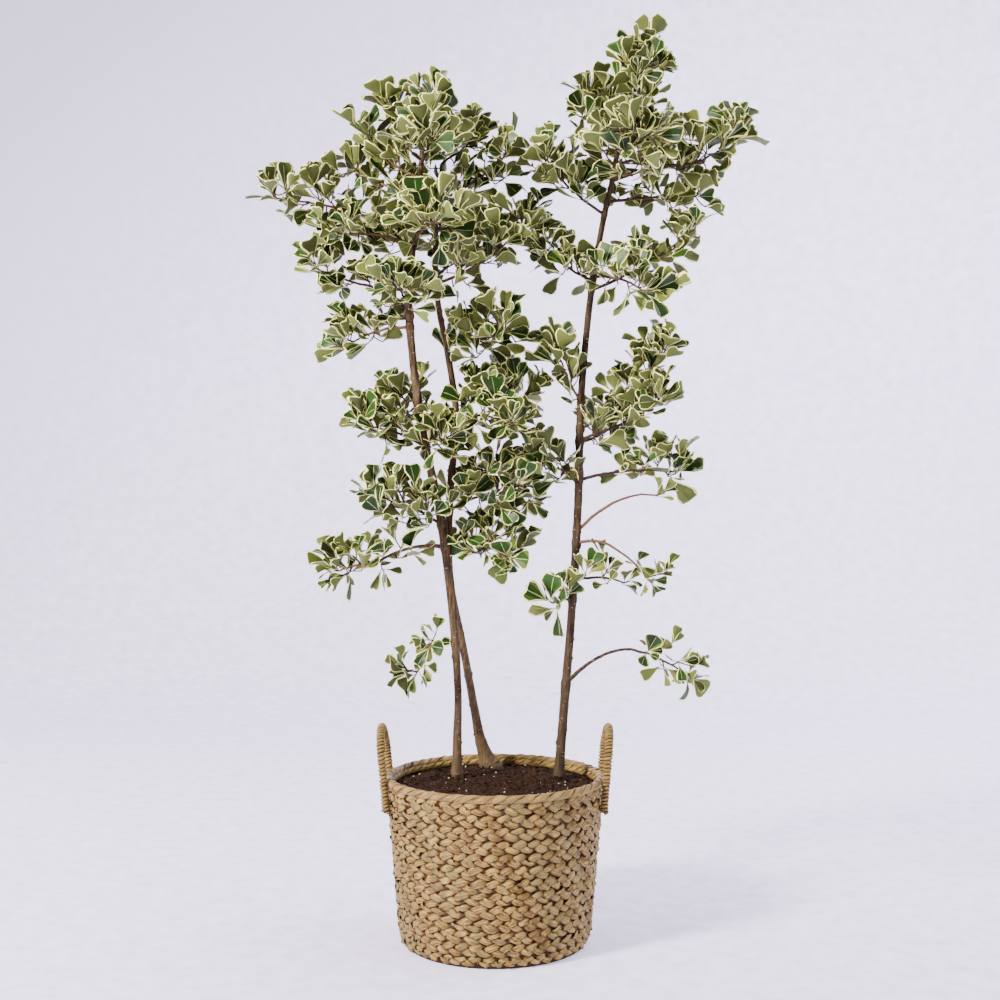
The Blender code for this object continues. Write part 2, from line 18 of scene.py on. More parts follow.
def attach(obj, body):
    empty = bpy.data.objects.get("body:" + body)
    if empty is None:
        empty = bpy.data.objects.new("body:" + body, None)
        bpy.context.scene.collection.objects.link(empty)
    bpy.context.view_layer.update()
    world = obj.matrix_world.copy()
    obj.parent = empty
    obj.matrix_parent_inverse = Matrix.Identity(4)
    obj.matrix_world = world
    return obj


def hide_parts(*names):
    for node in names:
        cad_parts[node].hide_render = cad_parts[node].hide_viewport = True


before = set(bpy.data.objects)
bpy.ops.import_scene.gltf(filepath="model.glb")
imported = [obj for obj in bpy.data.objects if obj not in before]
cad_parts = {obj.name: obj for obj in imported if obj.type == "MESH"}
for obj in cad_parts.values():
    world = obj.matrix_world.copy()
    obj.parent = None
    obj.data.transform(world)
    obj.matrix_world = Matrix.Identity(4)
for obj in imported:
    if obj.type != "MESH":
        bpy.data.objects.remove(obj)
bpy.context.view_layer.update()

bl_info = {
    "name": "Potted triangle fig",
    "version": (1, 0, 0),
    "blender": (4, 5, 0),
    "location": "View3D > Sidebar > Fig",
    "description": "Dresses the packed model of a potted fig in a plaited basket",
    "category": "Object",
}

MM = 0.001
UP = Vector((0.0, 0.0, 1.0))
GOLDEN = math.radians(137.5)

# Basket
BASKET_HEIGHT = 302 * MM
BASE_RADIUS = 174 * MM
RIM_RADIUS = 200 * MM
WALL = 12 * MM
FLOOR = 12 * MM
ROW_TOP = 291 * MM
FOOT_TUCK = 3 * MM
PLAIT_PERIODS = 15
STRAND_SIDES = 8
STRAND_STEPS = 20
STRAND_THICK = 0.9 * MM
STRAND_CROWN = 0.1 * MM
PLAIT_DEPTH = 2.1 * MM
PLAIT_SHARPNESS = 1.7
# Each ring of the rim: how far in and how far down it lies, half its width and height in mm,
# its turns, its strands, half the width of one in mm, and its seed
RIM_RINGS = ((7.4, 7.2, 4.7, 4.2, 16, 3, 6.4, 7), (12.5, 14.5, 2.4, 3.6, 21, 3, 5.4, 9))

# Handles
HANDLE_ROPE = 7.7 * MM
HANDLE_HALF_WIDTH = 62 * MM
HANDLE_FOOT = 244 * MM
HANDLE_SHOULDER = 318 * MM
HANDLE_TOP = 385 * MM
HANDLE_LEAN = 9 * MM
HANDLE_SEAT = 8 * MM
CORE_RADIUS = 4.8 * MM
CORE_SIDES = 12

# Soil
SOIL_TOP = 285 * MM

# Colours
GREY_STRAW = (0.15, 0.125, 0.038)
# Painted shade: the warm brown that the straw takes where a strand is half in shade
WARM_SHADE_STRAW = (0.22, 0.09, 0.02)
# Painted shade: the near-black that the straw turns in hollows and at strand edges
PAINTED_SHADE_STRAW = (0.02, 0.008, 0.002)
# Painted shade: the dark shell inside the plait that shows through its gaps
SHADE_SHELL_TONES = ((0.025, 0.011, 0.003), (0.06, 0.028, 0.008))
# The handle core: a real part, painted dark as shade in the gaps between the cord's turns
CORE_SHADE_TONES = ((0.08, 0.03, 0.008), (0.15, 0.065, 0.02))
CORK = (0.30, 0.24, 0.17)
# Darker bark just above the soil
SOIL_LINE_BARK = (0.026, 0.012, 0.005)
PERLITE_TONES = ((0.80, 0.78, 0.72), (0.60, 0.56, 0.50))
CHIP_TONES = ((0.10, 0.05, 0.026), (0.20, 0.12, 0.065))
DARK_TWIG = (0.04, 0.02, 0.011)
BROWN_TWIG = (0.115, 0.062, 0.03)
LEAF_STALK = (0.22, 0.23, 0.09)
LEAF_RIB = (0.38, 0.44, 0.15)

# Each stem: stations of height, x, y and radius in mm, then its flare at the foot:
# how much wider, over what height in mm, how many folds, and the bearing it leans its foot to
STEMS = {
    "stem_left": (
        ((285.3, -71, 45, 9.0), (364, -70, 43, 8.0), (448, -69, 40, 6.8), (615, -80, 30, 8.5),
         (772, -101, 20, 8.3), (960, -138, 5, 7.3), (1179, -158, -5, 7.0), (1318, -140, -15, 5.2),
         (1504, -128, -26, 2.8)),
        (0.55, 18, 3, -110),
    ),
    "stem_middle": (
        ((285.3, -13, 140, 10.5), (339, -29, 133, 9.2), (407, -41, 118, 8.0), (524, -61, 88, 7.4),
         (658, -85, 60, 7.0), (811, -84, 46, 6.8), (944, -72, 50, 6.4), (1060, -86, 50, 6.0),
         (1173, -107, 50, 5.4), (1286, -111, 57, 4.8), (1430, -101, 72, 2.8)),
        (1.0, 27, 2, -8),
    ),
    "stem_right": (
        ((285.3, 117, 32, 9.2), (466, 131, 30, 8.0), (577, 140, 30, 7.6), (792, 153, 30, 7.2),
         (980, 158, 25, 6.6), (1162, 174, 20, 6.0), (1306, 197, 15, 5.4), (1388, 215, 10, 4.6),
         (1472, 230, 6, 3.4), (1537, 252, 2, 2.5)),
        (0.3, 14, 5, 10),
    ),
}

# How light each stem's bark is
BARK_TONE = {"stem_left": 1.0, "stem_middle": 1.15, "stem_right": 0.6}

BOUGH_POINTS = 40
# Each bough: the limb it grows from, height on it, bearing in degrees, reach, rise, how far its
# middle stands over a straight line, and its radius at each end, in mm
BOUGHS = {
    "bough_left_far": ("stem_left", 1310, -172, 131, 12, -8, 3.0, 2.2),
    "bough_left_low": ("stem_left", 713, 178, 130, -31, 14, 2.6, 2.0),
    "bough_right_far": ("stem_right", 1386, -8, 141, 24, 6, 3.0, 2.2),
    "bough_right_arch": ("stem_right", 461, -10, 118, 66, 16, 2.6, 2.0),
}

# Each mass of leaves: the limb that its stem meets (a height on it, or None for the limb's tip),
# bearing, reach, rise and arch, the share of its stem that is bare, half the width of its space and
# the height of it over the stem, how far its twig ends turn up, its twigs and its seed
MASSES = {
    "leaves_left_top": ("stem_left", None, -31, 14, 20, 0, 0.2, 46, 36, 0.5, 4, 11),
    "leaves_left_high": ("stem_left", 1381, -170, 92, 62, -8, 0.1, 42, 36, 0.5, 5, 12),
    "leaves_left_peak": ("stem_left", 1433, 140, 52, 50, -4, 0.1, 44, 40, 0.5, 5, 13),
    "leaves_left_far": ("bough_left_far", None, -178, 98, 20, 2, 0.02, 44, 40, 0.4, 5, 14),
    "leaves_left_back_high": ("stem_left", 1352, 150, 140, 60, -6, 0.08, 52, 46, 0.5, 6, 15),
    "leaves_left_mid_upper": ("stem_left", 1262, -152, 132, 8, 8, 0.06, 50, 42, 0.4, 6, 16),
    "leaves_left_mid": ("stem_left", 1182, -170, 138, 30, -10, 0.1, 44, 38, 0.2, 5, 17),
    "leaves_left_front_high": ("stem_left", 1406, -78, 130, 10, 4, 0.1, 54, 46, 0.5, 6, 18),
    "leaves_left_front": ("stem_left", 1272, -72, 150, 5, 6, 0.06, 56, 50, 0.4, 7, 19),
    "leaves_left_front_low": ("stem_left", 1140, -92, 125, 22, 0, 0.06, 54, 46, 0.4, 6, 20),
    "leaves_left_back": ("stem_left", 1245, 105, 140, 76, -10, 0.08, 54, 46, 0.5, 6, 21),
    "leaves_middle_top": ("stem_middle", None, -11, 55, 48, 0, 0.1, 50, 46, 0.5, 5, 22),
    "leaves_middle_high": ("stem_middle", 1361, -6, 105, 74, -8, 0.15, 44, 42, 0.5, 6, 23),
    "leaves_middle_right": ("stem_middle", 1204, -10, 148, 70, -16, 0.12, 50, 46, 0.4, 6, 24),
    "leaves_middle_front": ("stem_middle", 1285, -84, 150, -10, 6, 0.06, 50, 46, 0.4, 6, 25),
    "leaves_middle_back": ("stem_middle", 1215, 70, 150, 116, -10, 0.15, 56, 48, 0.5, 6, 27),
    "leaves_left_lower": ("stem_left", 1115, 177, 118, -20, 10, 0.04, 46, 48, 0.3, 6, 128),
    "leaves_left_centre": ("stem_left", 983, 150, 74, 0, 8, 0.05, 46, 46, 0.4, 5, 29),
    "leaves_left_out": ("stem_left", 897, -166, 112, 36, 8, 0.06, 42, 38, 0.3, 5, 30),
    "leaves_left_tuft": ("stem_left", 905, -62, 74, 0, 4, 0.08, 48, 44, 0.4, 5, 26),
    "leaves_left_low": ("bough_left_low", None, -167, 66, -4, 4, 0.02, 46, 40, 0.3, 5, 131),
    "leaves_left_low_upper": ("stem_left", 754, -155, 130, 24, 6, 0.06, 46, 46, 0.4, 6, 32),
    "leaves_left_sprig": ("stem_left", 535, -142, 78, -24, 26, 0.3, 40, 28, -0.2, 4, 33),
    "leaves_middle_upper": ("stem_middle", 1088, -25, 106, 36, -6, 0.1, 46, 42, 0.4, 6, 34),
    "leaves_middle_centre": ("stem_middle", 995, 16, 122, 16, 4, 0.06, 50, 42, 0.4, 6, 35),
    "leaves_middle_centre_low": ("stem_middle", 949, -38, 128, -14, 12, 0.1, 46, 38, 0.3, 6, 36),
    "leaves_middle_low": ("stem_middle", 780, 3, 108, 44, 8, 0.06, 50, 46, 0.3, 6, 37),
    "leaves_middle_droop": ("stem_middle", 707, -24, 120, -20, 14, 0.12, 44, 38, 0.1, 6, 38),
    "leaves_right_top": ("stem_right", None, -4, 22, 48, 0, 0.05, 46, 34, 0.5, 6, 39),
    "leaves_right_top_left": ("stem_right", 1462, -150, 58, 42, -4, 0.1, 50, 46, 0.5, 5, 40),
    "leaves_right_far": ("bough_right_far", None, -6, 70, 20, -4, 0.02, 44, 38, 0.4, 6, 41),
    "leaves_right_far_low": ("stem_right", 1345, 13, 150, 14, 4, 0.15, 40, 36, 0.3, 5, 42),
    "leaves_right_high_front": ("stem_right", 1400, -78, 128, 10, 4, 0.06, 52, 46, 0.4, 6, 43),
    "leaves_right_high_back": ("stem_right", 1415, 62, 140, 20, -4, 0.06, 54, 48, 0.5, 6, 44),
    "leaves_right_high_left": ("stem_right", 1324, -164, 102, 66, -8, 0.12, 44, 44, 0.5, 6, 45),
    "leaves_right_upper_left": ("stem_right", 1202, 176, 72, 50, -6, 0.1, 44, 40, 0.4, 5, 46),
    "leaves_right_mid_out": ("stem_right", 1186, 2, 150, 60, -10, 0.25, 44, 38, 0.4, 5, 47),
    "leaves_right_mid_low": ("stem_right", 1210, -34, 142, -8, 10, 0.12, 40, 36, 0.3, 5, 48),
    "leaves_right_centre": ("stem_right", 931, -11, 126, 172, -16, 0.45, 44, 40, 0.4, 6, 49),
    "leaves_right_inner": ("stem_right", 911, -30, 128, 24, -6, 0.1, 46, 42, 0.4, 6, 50),
    "leaves_right_out_low": ("stem_right", 836, 4, 172, 36, 10, 0.5, 42, 38, 0.3, 5, 51),
    "leaves_right_out_sprig": ("stem_right", 742, -6, 158, 66, 24, 0.85, 26, 24, 0.4, 1, 52),
    "leaves_right_droop": ("stem_right", 722, -24, 140, -66, 26, 0.6, 28, 26, 0.0, 2, 53),
    "leaves_right_low_spray": ("stem_right", 651, -17, 96, 6, 8, 0.1, 28, 30, 0.4, 4, 54),
    "leaves_right_arch": ("bough_right_arch", None, -5, 84, -30, 6, 0.05, 40, 34, -0.2, 5, 55),
    "leaves_right_low_left": ("stem_right", 615, -128, 84, 14, 4, 0.1, 42, 34, 0.3, 5, 56),
    "leaves_right_left_mid": ("stem_right", 980, -145, 44, 96, -6, 0.15, 40, 36, 0.4, 5, 57),
    "leaves_right_left_low": ("stem_right", 850, 168, 74, 44, -4, 0.12, 42, 38, 0.4, 5, 59),
    "leaves_right_back": ("stem_right", 905, 52, 140, 52, -8, 0.1, 50, 44, 0.4, 6, 58),
}

# Each lamp: its place, where it points, its width in metres, its watts and its colour
LAMPS = {
    "key_light": ((-2.6, -2.1, 2.4), (0.0, 0, 0.75), 0.7, 460, (1.0, 0.96, 0.90)),
    "fill_light": ((2.6, -0.7, 1.5), (0, 0, 0.7), 1.6, 34, (0.95, 0.97, 1.0)),
    "top_light": ((0.4, 0.2, 3.6), (0, 0, 0.6), 1.8, 55, (1.0, 1.0, 1.0)),
    "backdrop_light_right": ((2.4, 0.9, 2.4), (1.2, 3.7, 1.2), 1.8, 200, (0.94, 0.93, 1.0)),
    "backdrop_light_left": ((-2.4, 0.9, 1.6), (-1.2, 3.7, 0.9), 1.8, 40, (0.94, 0.94, 1.0)),
    "low_light": ((1.5, -1.1, 0.25), (0.1, 0, 0.15), 0.5, 9, (1.0, 1.0, 1.0)),
}
# The camera's focal length as a share of the frame's width, as measured on the photograph
FOCAL_SHARE = 1371 / 1000
SENSOR = 36.0

# Growth
LEAF_WIDTH = 0.84
PETIOLE = 7 * MM
INTERNODE = 5 * MM
SIDE_SHOOT = 26 * MM
ROSETTE_GAP = 30 * MM
FILL_TRIES = 5
CROWD_CELL = 0.06
SPACE_GUARD = -0.06

# Each row of a leaf: how far along the blade, and the share of its half width there
# on a leaf shaped like a fan and on one shaped like a spoon
LEAF_ROWS = (
    (0.02, 0.07, 0.07), (0.23, 0.3, 0.23), (0.47, 0.67, 0.6), (0.7, 0.95, 0.92), (0.86, 1.0, 0.95),
    (0.96, 0.87, 0.76), (1.0, 0.6, 0.48),
)

# Masses that differ from the rest: how many twigs they carry, how far these reach, and how far in mm
# their ends swing to the right and rise
HABIT = {
    "leaves_right_droop": (0.3, 0.8, 0, 0),
    "leaves_right_low_spray": (0.4, 0.8, 0, -8),
    "leaves_right_arch": (0.6, 0.8, 16, -12),
    "leaves_left_sprig": (0.5, 0.65, -6, -22),
    "leaves_right_out_sprig": (0.6, 1.0, -10, 0),
    "leaves_right_left_mid": (0.75, 1.0, -8, -8),
    "leaves_right_inner": (0.75, 1.0, 24, 38),
    "leaves_right_back": (0.75, 1.0, 0, 0),
    "leaves_right_centre": (0.8, 1.1, 22, -44),
    "leaves_right_low_left": (0.35, 0.7, 12, -14),
    "leaves_right_left_low": (1.4, 1.3, 0, -22),
    "leaves_right_top": (2.4, 1.5, -2, 10),
    "leaves_right_top_left": (1.6, 1.25, -8, 14),
    "leaves_right_high_left": (1.3, 1.1, -12, 24),
    "leaves_right_far": (1.4, 1.2, 10, 20),
    "leaves_right_far_low": (1.6, 1.3, 22, 6),
    "leaves_right_high_front": (1.3, 1.3, 6, 18),
    "leaves_right_high_back": (1.5, 1.3, 22, 34),
    "leaves_right_upper_left": (1.0, 1.1, -16, 12),
    "leaves_right_mid_out": (1.1, 1.0, 30, 44),
    "leaves_right_mid_low": (1.6, 1.2, -30, -32),
    "leaves_middle_top": (1.0, 1.0, 10, -4),
    "leaves_middle_high": (1.3, 1.2, 16, 0),
    "leaves_middle_right": (1.3, 1.2, 16, 28),
    "leaves_middle_upper": (1.5, 1.3, 6, -16),
    "leaves_middle_centre": (1.3, 1.3, 0, -22),
    "leaves_middle_low": (1.8, 1.6, 18, 0),
    "leaves_middle_droop": (1.3, 1.2, -6, 14),
    "leaves_left_top": (0.6, 0.8, 0, -30),
    "leaves_left_far": (1.1, 1.0, -24, 0),
    "leaves_left_centre": (1.5, 1.2, 20, -26),
    "leaves_left_tuft": (1.3, 1.2, 0, 0),
    "leaves_left_low": (1.3, 1.0, 0, -8),
    "leaves_left_low_upper": (1.5, 1.3, 26, 20),
    "leaves_left_out": (1.2, 1.1, 0, 0),
    "leaves_left_mid": (0.9, 1.0, -26, 4),
    "leaves_left_peak": (1.0, 1.0, -10, 14),
    "leaves_left_lower": (1.0, 1.0, 0, -14),
    "leaves_middle_back": (0.95, 0.9, 0, -8),
    "leaves_right_out_low": (0.75, 0.9, 8, -20),
}
# Sprigs with smaller leaves than the crown's, and the share of full size that theirs have
SMALL_LEAVES = {
    "leaves_left_sprig": 0.9, "leaves_right_arch": 0.78, "leaves_right_low_left": 0.95,
    "leaves_right_out_sprig": 0.8, "leaves_right_droop": 0.68, "leaves_right_low_spray": 0.75,
}
# Limbs whose last stretch is leafy too, and how many points of their path that takes
LEAFY_LIMBS = {
    "bough_left_far": 28, "bough_left_low": 28, "bough_right_far": 28,
    "stem_right": 34, "stem_middle": 16,
}


# Arrays and meshes

def finish_piece(ob, slot, *nodes):
    """Sets what every piece needs: its body and the solids that it stands for, which it hides; the slot is
    not used.
    """
    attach(ob, "root")
    if nodes:
        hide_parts(*nodes)


def object_of(bm, name, materials):
    mesh = bpy.data.meshes.new(name)
    bm.to_mesh(mesh)
    bm.free()
    return object_from_mesh(mesh, name, materials)


def object_from_mesh(mesh, name, materials):
    for mat in materials:
        mesh.materials.append(mat)
    mesh.shade_smooth()
    ob = bpy.data.objects.new(name, mesh)
    bpy.context.scene.collection.objects.link(ob)
    return ob


def frames_along(path, closed=False):
    """The direction, side and over vectors at each point of a path, without a twist between them."""
    path = np.asarray(path, float)
    ahead = np.roll(path, -1, 0) - path
    behind = path - np.roll(path, 1, 0)
    if not closed:
        ahead[-1], behind[0] = behind[-1], ahead[0]
    tangents = ahead + behind
    tangents /= np.linalg.norm(tangents, axis=1)[:, None]
    start = np.array([0.0, 0.0, 1.0]) if abs(tangents[0][2]) < 0.9 else np.array([1.0, 0.0, 0.0])
    sides = [np.cross(tangents[0], start)]
    for k in range(1, len(path)):
        side = sides[-1] - tangents[k] * sides[-1].dot(tangents[k])
        sides.append(side / np.linalg.norm(side))
    sides = np.array(sides)
    sides[0] /= np.linalg.norm(sides[0])
    return tangents, sides, np.cross(tangents, sides)


def rolled_grid(bm, points, length=1.0, girth=1.0, closed=False, values=None):
    """A grid rolled into a tube: points[i, j] is at step i along it and step j round it.

    Its UV map runs to length along it and to girth round it. Named values are kept for each point.
    """
    steps, sides = points.shape[:2]
    uv = bm.loops.layers.uv.verify()
    made = bmesh.ops.create_grid(
        bm, x_segments=steps if closed else steps - 1, y_segments=sides, size=1, calc_uvs=True,
    )["verts"]
    layers = {name: bm.verts.layers.float.get(name) for name in (values or {})}
    last = steps if closed else steps - 1
    for v in made:
        i = round((v.co.x + 1) / 2 * last)
        j = round((v.co.y + 1) / 2 * sides)
        v.co = points[i % steps, j % sides]
        for name, layer in layers.items():
            v[layer] = values[name][i % steps, j % sides]
    for face in {face for v in made for face in v.link_faces}:
        for loop in face.loops:
            place = loop[uv].uv
            loop[uv].uv = (place.x * length, place.y * girth)
    return made


def sealed(bm):
    """Merges the seams of rolled grids, closes their open ends and turns the faces outwards."""
    bmesh.ops.remove_doubles(bm, verts=bm.verts[:], dist=1e-6)
    bmesh.ops.holes_fill(bm, edges=[e for e in bm.edges if e.is_boundary], sides=0)
    bmesh.ops.recalc_face_normals(bm, faces=bm.faces[:])


def circle(count):
    """Evenly spread angles, once round."""
    return np.arange(count) / count * 2 * math.pi


def spokes(path, sides):
    """Unit vectors all round a path: a ring of them at each of its points."""
    _, side, over = frames_along(path)
    turn = circle(sides)
    return np.cos(turn)[None, :, None] * side[:, None] + np.sin(turn)[None, :, None] * over[:, None]


def level_spokes(turn):
    """Level unit vectors that point outwards at these angles."""
    return np.stack([np.cos(turn), np.sin(turn), np.zeros(len(turn))], 1)


def lens(sides):
    """A flattened oval as two rows: how far across and how far out each point of it lies."""
    across, out = np.cos(circle(sides)), np.sin(circle(sides))
    return across, np.sign(out) * np.abs(out) ** 0.8


def curved(a, b, c, d, t):
    """The value at a share t of the way from b to c, on a smooth curve past a, b, c and d."""
    return 0.5 * (
        2 * b + (c - a) * t + (2 * a - 5 * b + 4 * c - d) * t ** 2 + (3 * b - a - 3 * c + d) * t ** 3
    )


class Heap:
    """Collects many small shapes as arrays, for one joined mesh."""

    def __init__(self):
        self.points, self.faces, self.materials, self.count = [], [], [], 0

    def add(self, points, faces, materials):
        self.points.append(np.asarray(points, float).reshape(-1, 3))
        self.faces += [tuple(int(v) + self.count for v in face) for face in faces]
        self.materials += list(materials)
        self.count += len(self.points[-1])

    def tube(self, path, radii, sides, material):
        """A tapering tube along a path, closed at both ends."""
        path = np.asarray([tuple(p) for p in path])
        points = path[:, None] + spokes(path, sides) * np.asarray(radii)[:, None, None]
        faces = []
        for low in range(0, (len(path) - 1) * sides, sides):
            for j in range(sides):
                after = (j + 1) % sides
                faces.append((low + j, low + after, low + sides + after, low + sides + j))
        faces.append(tuple(reversed(range(sides))))
        faces.append(tuple(range((len(path) - 1) * sides, len(path) * sides)))
        self.add(points, faces, [material] * len(faces))

    def build(self, name, materials):
        mesh = bpy.data.meshes.new(name)
        mesh.from_pydata(np.concatenate(self.points).tolist(), [], self.faces)
        mesh.polygons.foreach_set("material_index", self.materials)
        mesh.update()
        return object_from_mesh(mesh, name, materials)


# Shader nodes

def add(tree, kind, values=(), **settings):
    """A node with its settings, and with a value or a link in each named input."""
    node = tree.nodes.new(kind)
    for key, value in settings.items():
        setattr(node, key, value)
    for key, value in dict(values).items():
        if isinstance(value, bpy.types.NodeSocket):
            tree.links.new(value, node.inputs[key])
        else:
            node.inputs[key].default_value = value
    return node


def mixed(tree, share, first, second):
    return add(tree, "ShaderNodeMix", {0: share, 6: first, 7: second}, data_type="RGBA").outputs[2]


def maths(tree, operation, first, second=0.0):
    return add(tree, "ShaderNodeMath", {0: first, 1: second}, operation=operation).outputs[0]


def ranged(tree, value, low, high, to_low=0.0, to_high=1.0):
    return add(tree, "ShaderNodeMapRange", {
        "Value": value, "From Min": low, "From Max": high, "To Min": to_low, "To Max": to_high,
    }).outputs[0]


def noise_of(tree, vector, scale, detail=3.0, roughness=0.55):
    return add(tree, "ShaderNodeTexNoise", {
        "Vector": vector, "Scale": scale, "Detail": detail, "Roughness": roughness,
    }).outputs["Fac"]


def shared_group(name, inputs, outputs, fill):
    """A shader node group, built once: fill links its inputs to its outputs."""
    tree = bpy.data.node_groups.get(name)
    if tree:
        return tree
    tree = bpy.data.node_groups.new(name, "ShaderNodeTree")
    for title, kind, value in inputs:
        socket = tree.interface.new_socket(name=title, in_out="INPUT", socket_type=kind)
        if value is not None:
            socket.default_value = value
    for title in outputs:
        tree.interface.new_socket(name=title, in_out="OUTPUT", socket_type="NodeSocketFloat")
    made = fill(tree, tree.nodes.new("NodeGroupInput").outputs)
    end = tree.nodes.new("NodeGroupOutput")
    for title, socket in zip(outputs, made):
        tree.links.new(socket, end.inputs[title])
    return tree


def fibre_group():
    """Long fine fibres that follow a strand, and slow patches along it."""

    def fill(tree, given):
        parts = add(tree, "ShaderNodeSeparateXYZ", {0: given["Vector"]}).outputs
        drawn = add(tree, "ShaderNodeCombineXYZ", {
            0: maths(tree, "MULTIPLY", parts[0], given["Along"]),
            1: maths(tree, "MULTIPLY", parts[1], given["Across"]),
        }).outputs[0]
        slow = add(tree, "ShaderNodeCombineXYZ", {
            0: maths(tree, "MULTIPLY", parts[0], 60.0), 1: maths(tree, "MULTIPLY", parts[1], 30.0),
        }).outputs[0]
        return noise_of(tree, drawn, 1.0, 4.0, 0.6), noise_of(tree, slow, 1.0, 2.0)

    return shared_group("Fibre streaks", [
        ("Vector", "NodeSocketVector", None), ("Along", "NodeSocketFloat", 34.0),
        ("Across", "NodeSocketFloat", 300.0),
    ], ["Streak", "Patch"], fill)


def mottle_group():
    """Blotches with a harder or softer border, and the grain inside them."""

    def fill(tree, given):
        blotch = noise_of(tree, given["Vector"], given["Scale"], 4.0)
        edge = maths(tree, "MULTIPLY", given["Softness"], 0.5)
        low, high = maths(tree, "SUBTRACT", 0.5, edge), maths(tree, "ADD", 0.5, edge)
        mask = ranged(tree, blotch, low, high)
        grain = noise_of(tree, given["Vector"], maths(tree, "MULTIPLY", given["Scale"], 9.0), 3.0)
        return mask, grain

    return shared_group("Mottle", [
        ("Vector", "NodeSocketVector", None), ("Scale", "NodeSocketFloat", 20.0),
        ("Softness", "NodeSocketFloat", 0.3),
    ], ["Mask", "Grain"], fill)


def use_group(tree, group, values):
    return add(tree, "ShaderNodeGroup", values, node_tree=group).outputs


def started(name, specular=0.4):
    """A new material, its node tree and its shader."""
    mat = bpy.data.materials.new(name)
    mat.use_nodes = True
    shader = mat.node_tree.nodes["Principled BSDF"]
    shader.inputs["Specular IOR Level"].default_value = specular
    return mat, mat.node_tree, shader


def bumped(tree, shader, height, distance):
    bump = add(tree, "ShaderNodeBump", {"Height": height, "Distance": distance, "Strength": 1.0})
    tree.links.new(bump.outputs[0], shader.inputs["Normal"])


def rgba(colour, share=1.0):
    return tuple(c * share for c in colour) + (1.0,)


def object_place(tree, scale=(1.0, 1.0, 1.0)):
    place = tree.nodes.new("ShaderNodeTexCoord").outputs["Object"]
    return add(tree, "ShaderNodeMapping", {"Vector": place, "Scale": scale}).outputs[0]


def straw_material(name, pale, ochre, painted_shade_strength):
    """Dry seagrass: fibres along each strand, ochre edges, grey-green patches, and painted shade: warm where
    strands dive under, near black in the hollows.
    """
    mat, tree, shader = started(name, 0.3)
    uv = tree.nodes.new("ShaderNodeUVMap").outputs[0]
    fibre = use_group(tree, fibre_group(), {"Vector": uv})
    tone = add(tree, "ShaderNodeAttribute", attribute_name="tone").outputs["Fac"]
    # Each point's shade is painted shade: low in the hollows, at strand edges and on the backs of strands
    shade = add(tree, "ShaderNodeAttribute", attribute_name="shade").outputs["Fac"]
    warm = maths(tree, "ADD", maths(tree, "MULTIPLY", ranged(tree, fibre["Streak"], 0.43, 0.58), 0.75),
                 maths(tree, "MULTIPLY", tone, 0.5))
    colour = mixed(tree, warm, rgba(pale), rgba(ochre))
    grey = maths(tree, "MULTIPLY", ranged(tree, fibre["Patch"], 0.46, 0.62), 0.6)
    colour = mixed(tree, grey, colour, rgba(GREY_STRAW))
    # Painted shade: a warm brown tint where the straw is half shaded, as a strand dives under
    warm_shade = ranged(tree, shade, 0.25, 0.75, 0.7, 0.0)
    colour = mixed(tree, warm_shade, colour, rgba(WARM_SHADE_STRAW))
    # Painted shade: the straw turns near-black where its shade is low
    colour = mixed(tree, ranged(tree, shade, 0.0, 0.6, painted_shade_strength, 0.0), colour, rgba(PAINTED_SHADE_STRAW))
    tree.links.new(colour, shader.inputs["Base Color"])
    tree.links.new(ranged(tree, fibre["Streak"], 0.3, 0.7, 0.42, 0.68), shader.inputs["Roughness"])
    bumped(tree, shader, fibre["Streak"], 1.6 * MM)
    return mat


def blotched_material(name, first, second, scale, rough, depth, softness=0.3):
    """Two tones in blotches with a grained surface: soil, chips, grains, the dark shell of painted shade in
    the basket and backdrop.
    """
    mat, tree, shader = started(name, 0.12)
    place = object_place(tree)
    mottle = use_group(tree, mottle_group(), {"Vector": place, "Scale": scale, "Softness": softness})
    colour = mixed(tree, mottle["Mask"], rgba(first), rgba(second))
    colour = mixed(tree, ranged(tree, mottle["Grain"], 0.3, 0.75, 0.0, 0.45), colour, rgba(first, 0.55))
    tree.links.new(colour, shader.inputs["Base Color"])
    tree.links.new(ranged(tree, mottle["Grain"], 0.3, 0.7, rough - 0.12, rough), shader.inputs["Roughness"])
    bumped(tree, shader, mottle["Grain"], depth)
    return mat


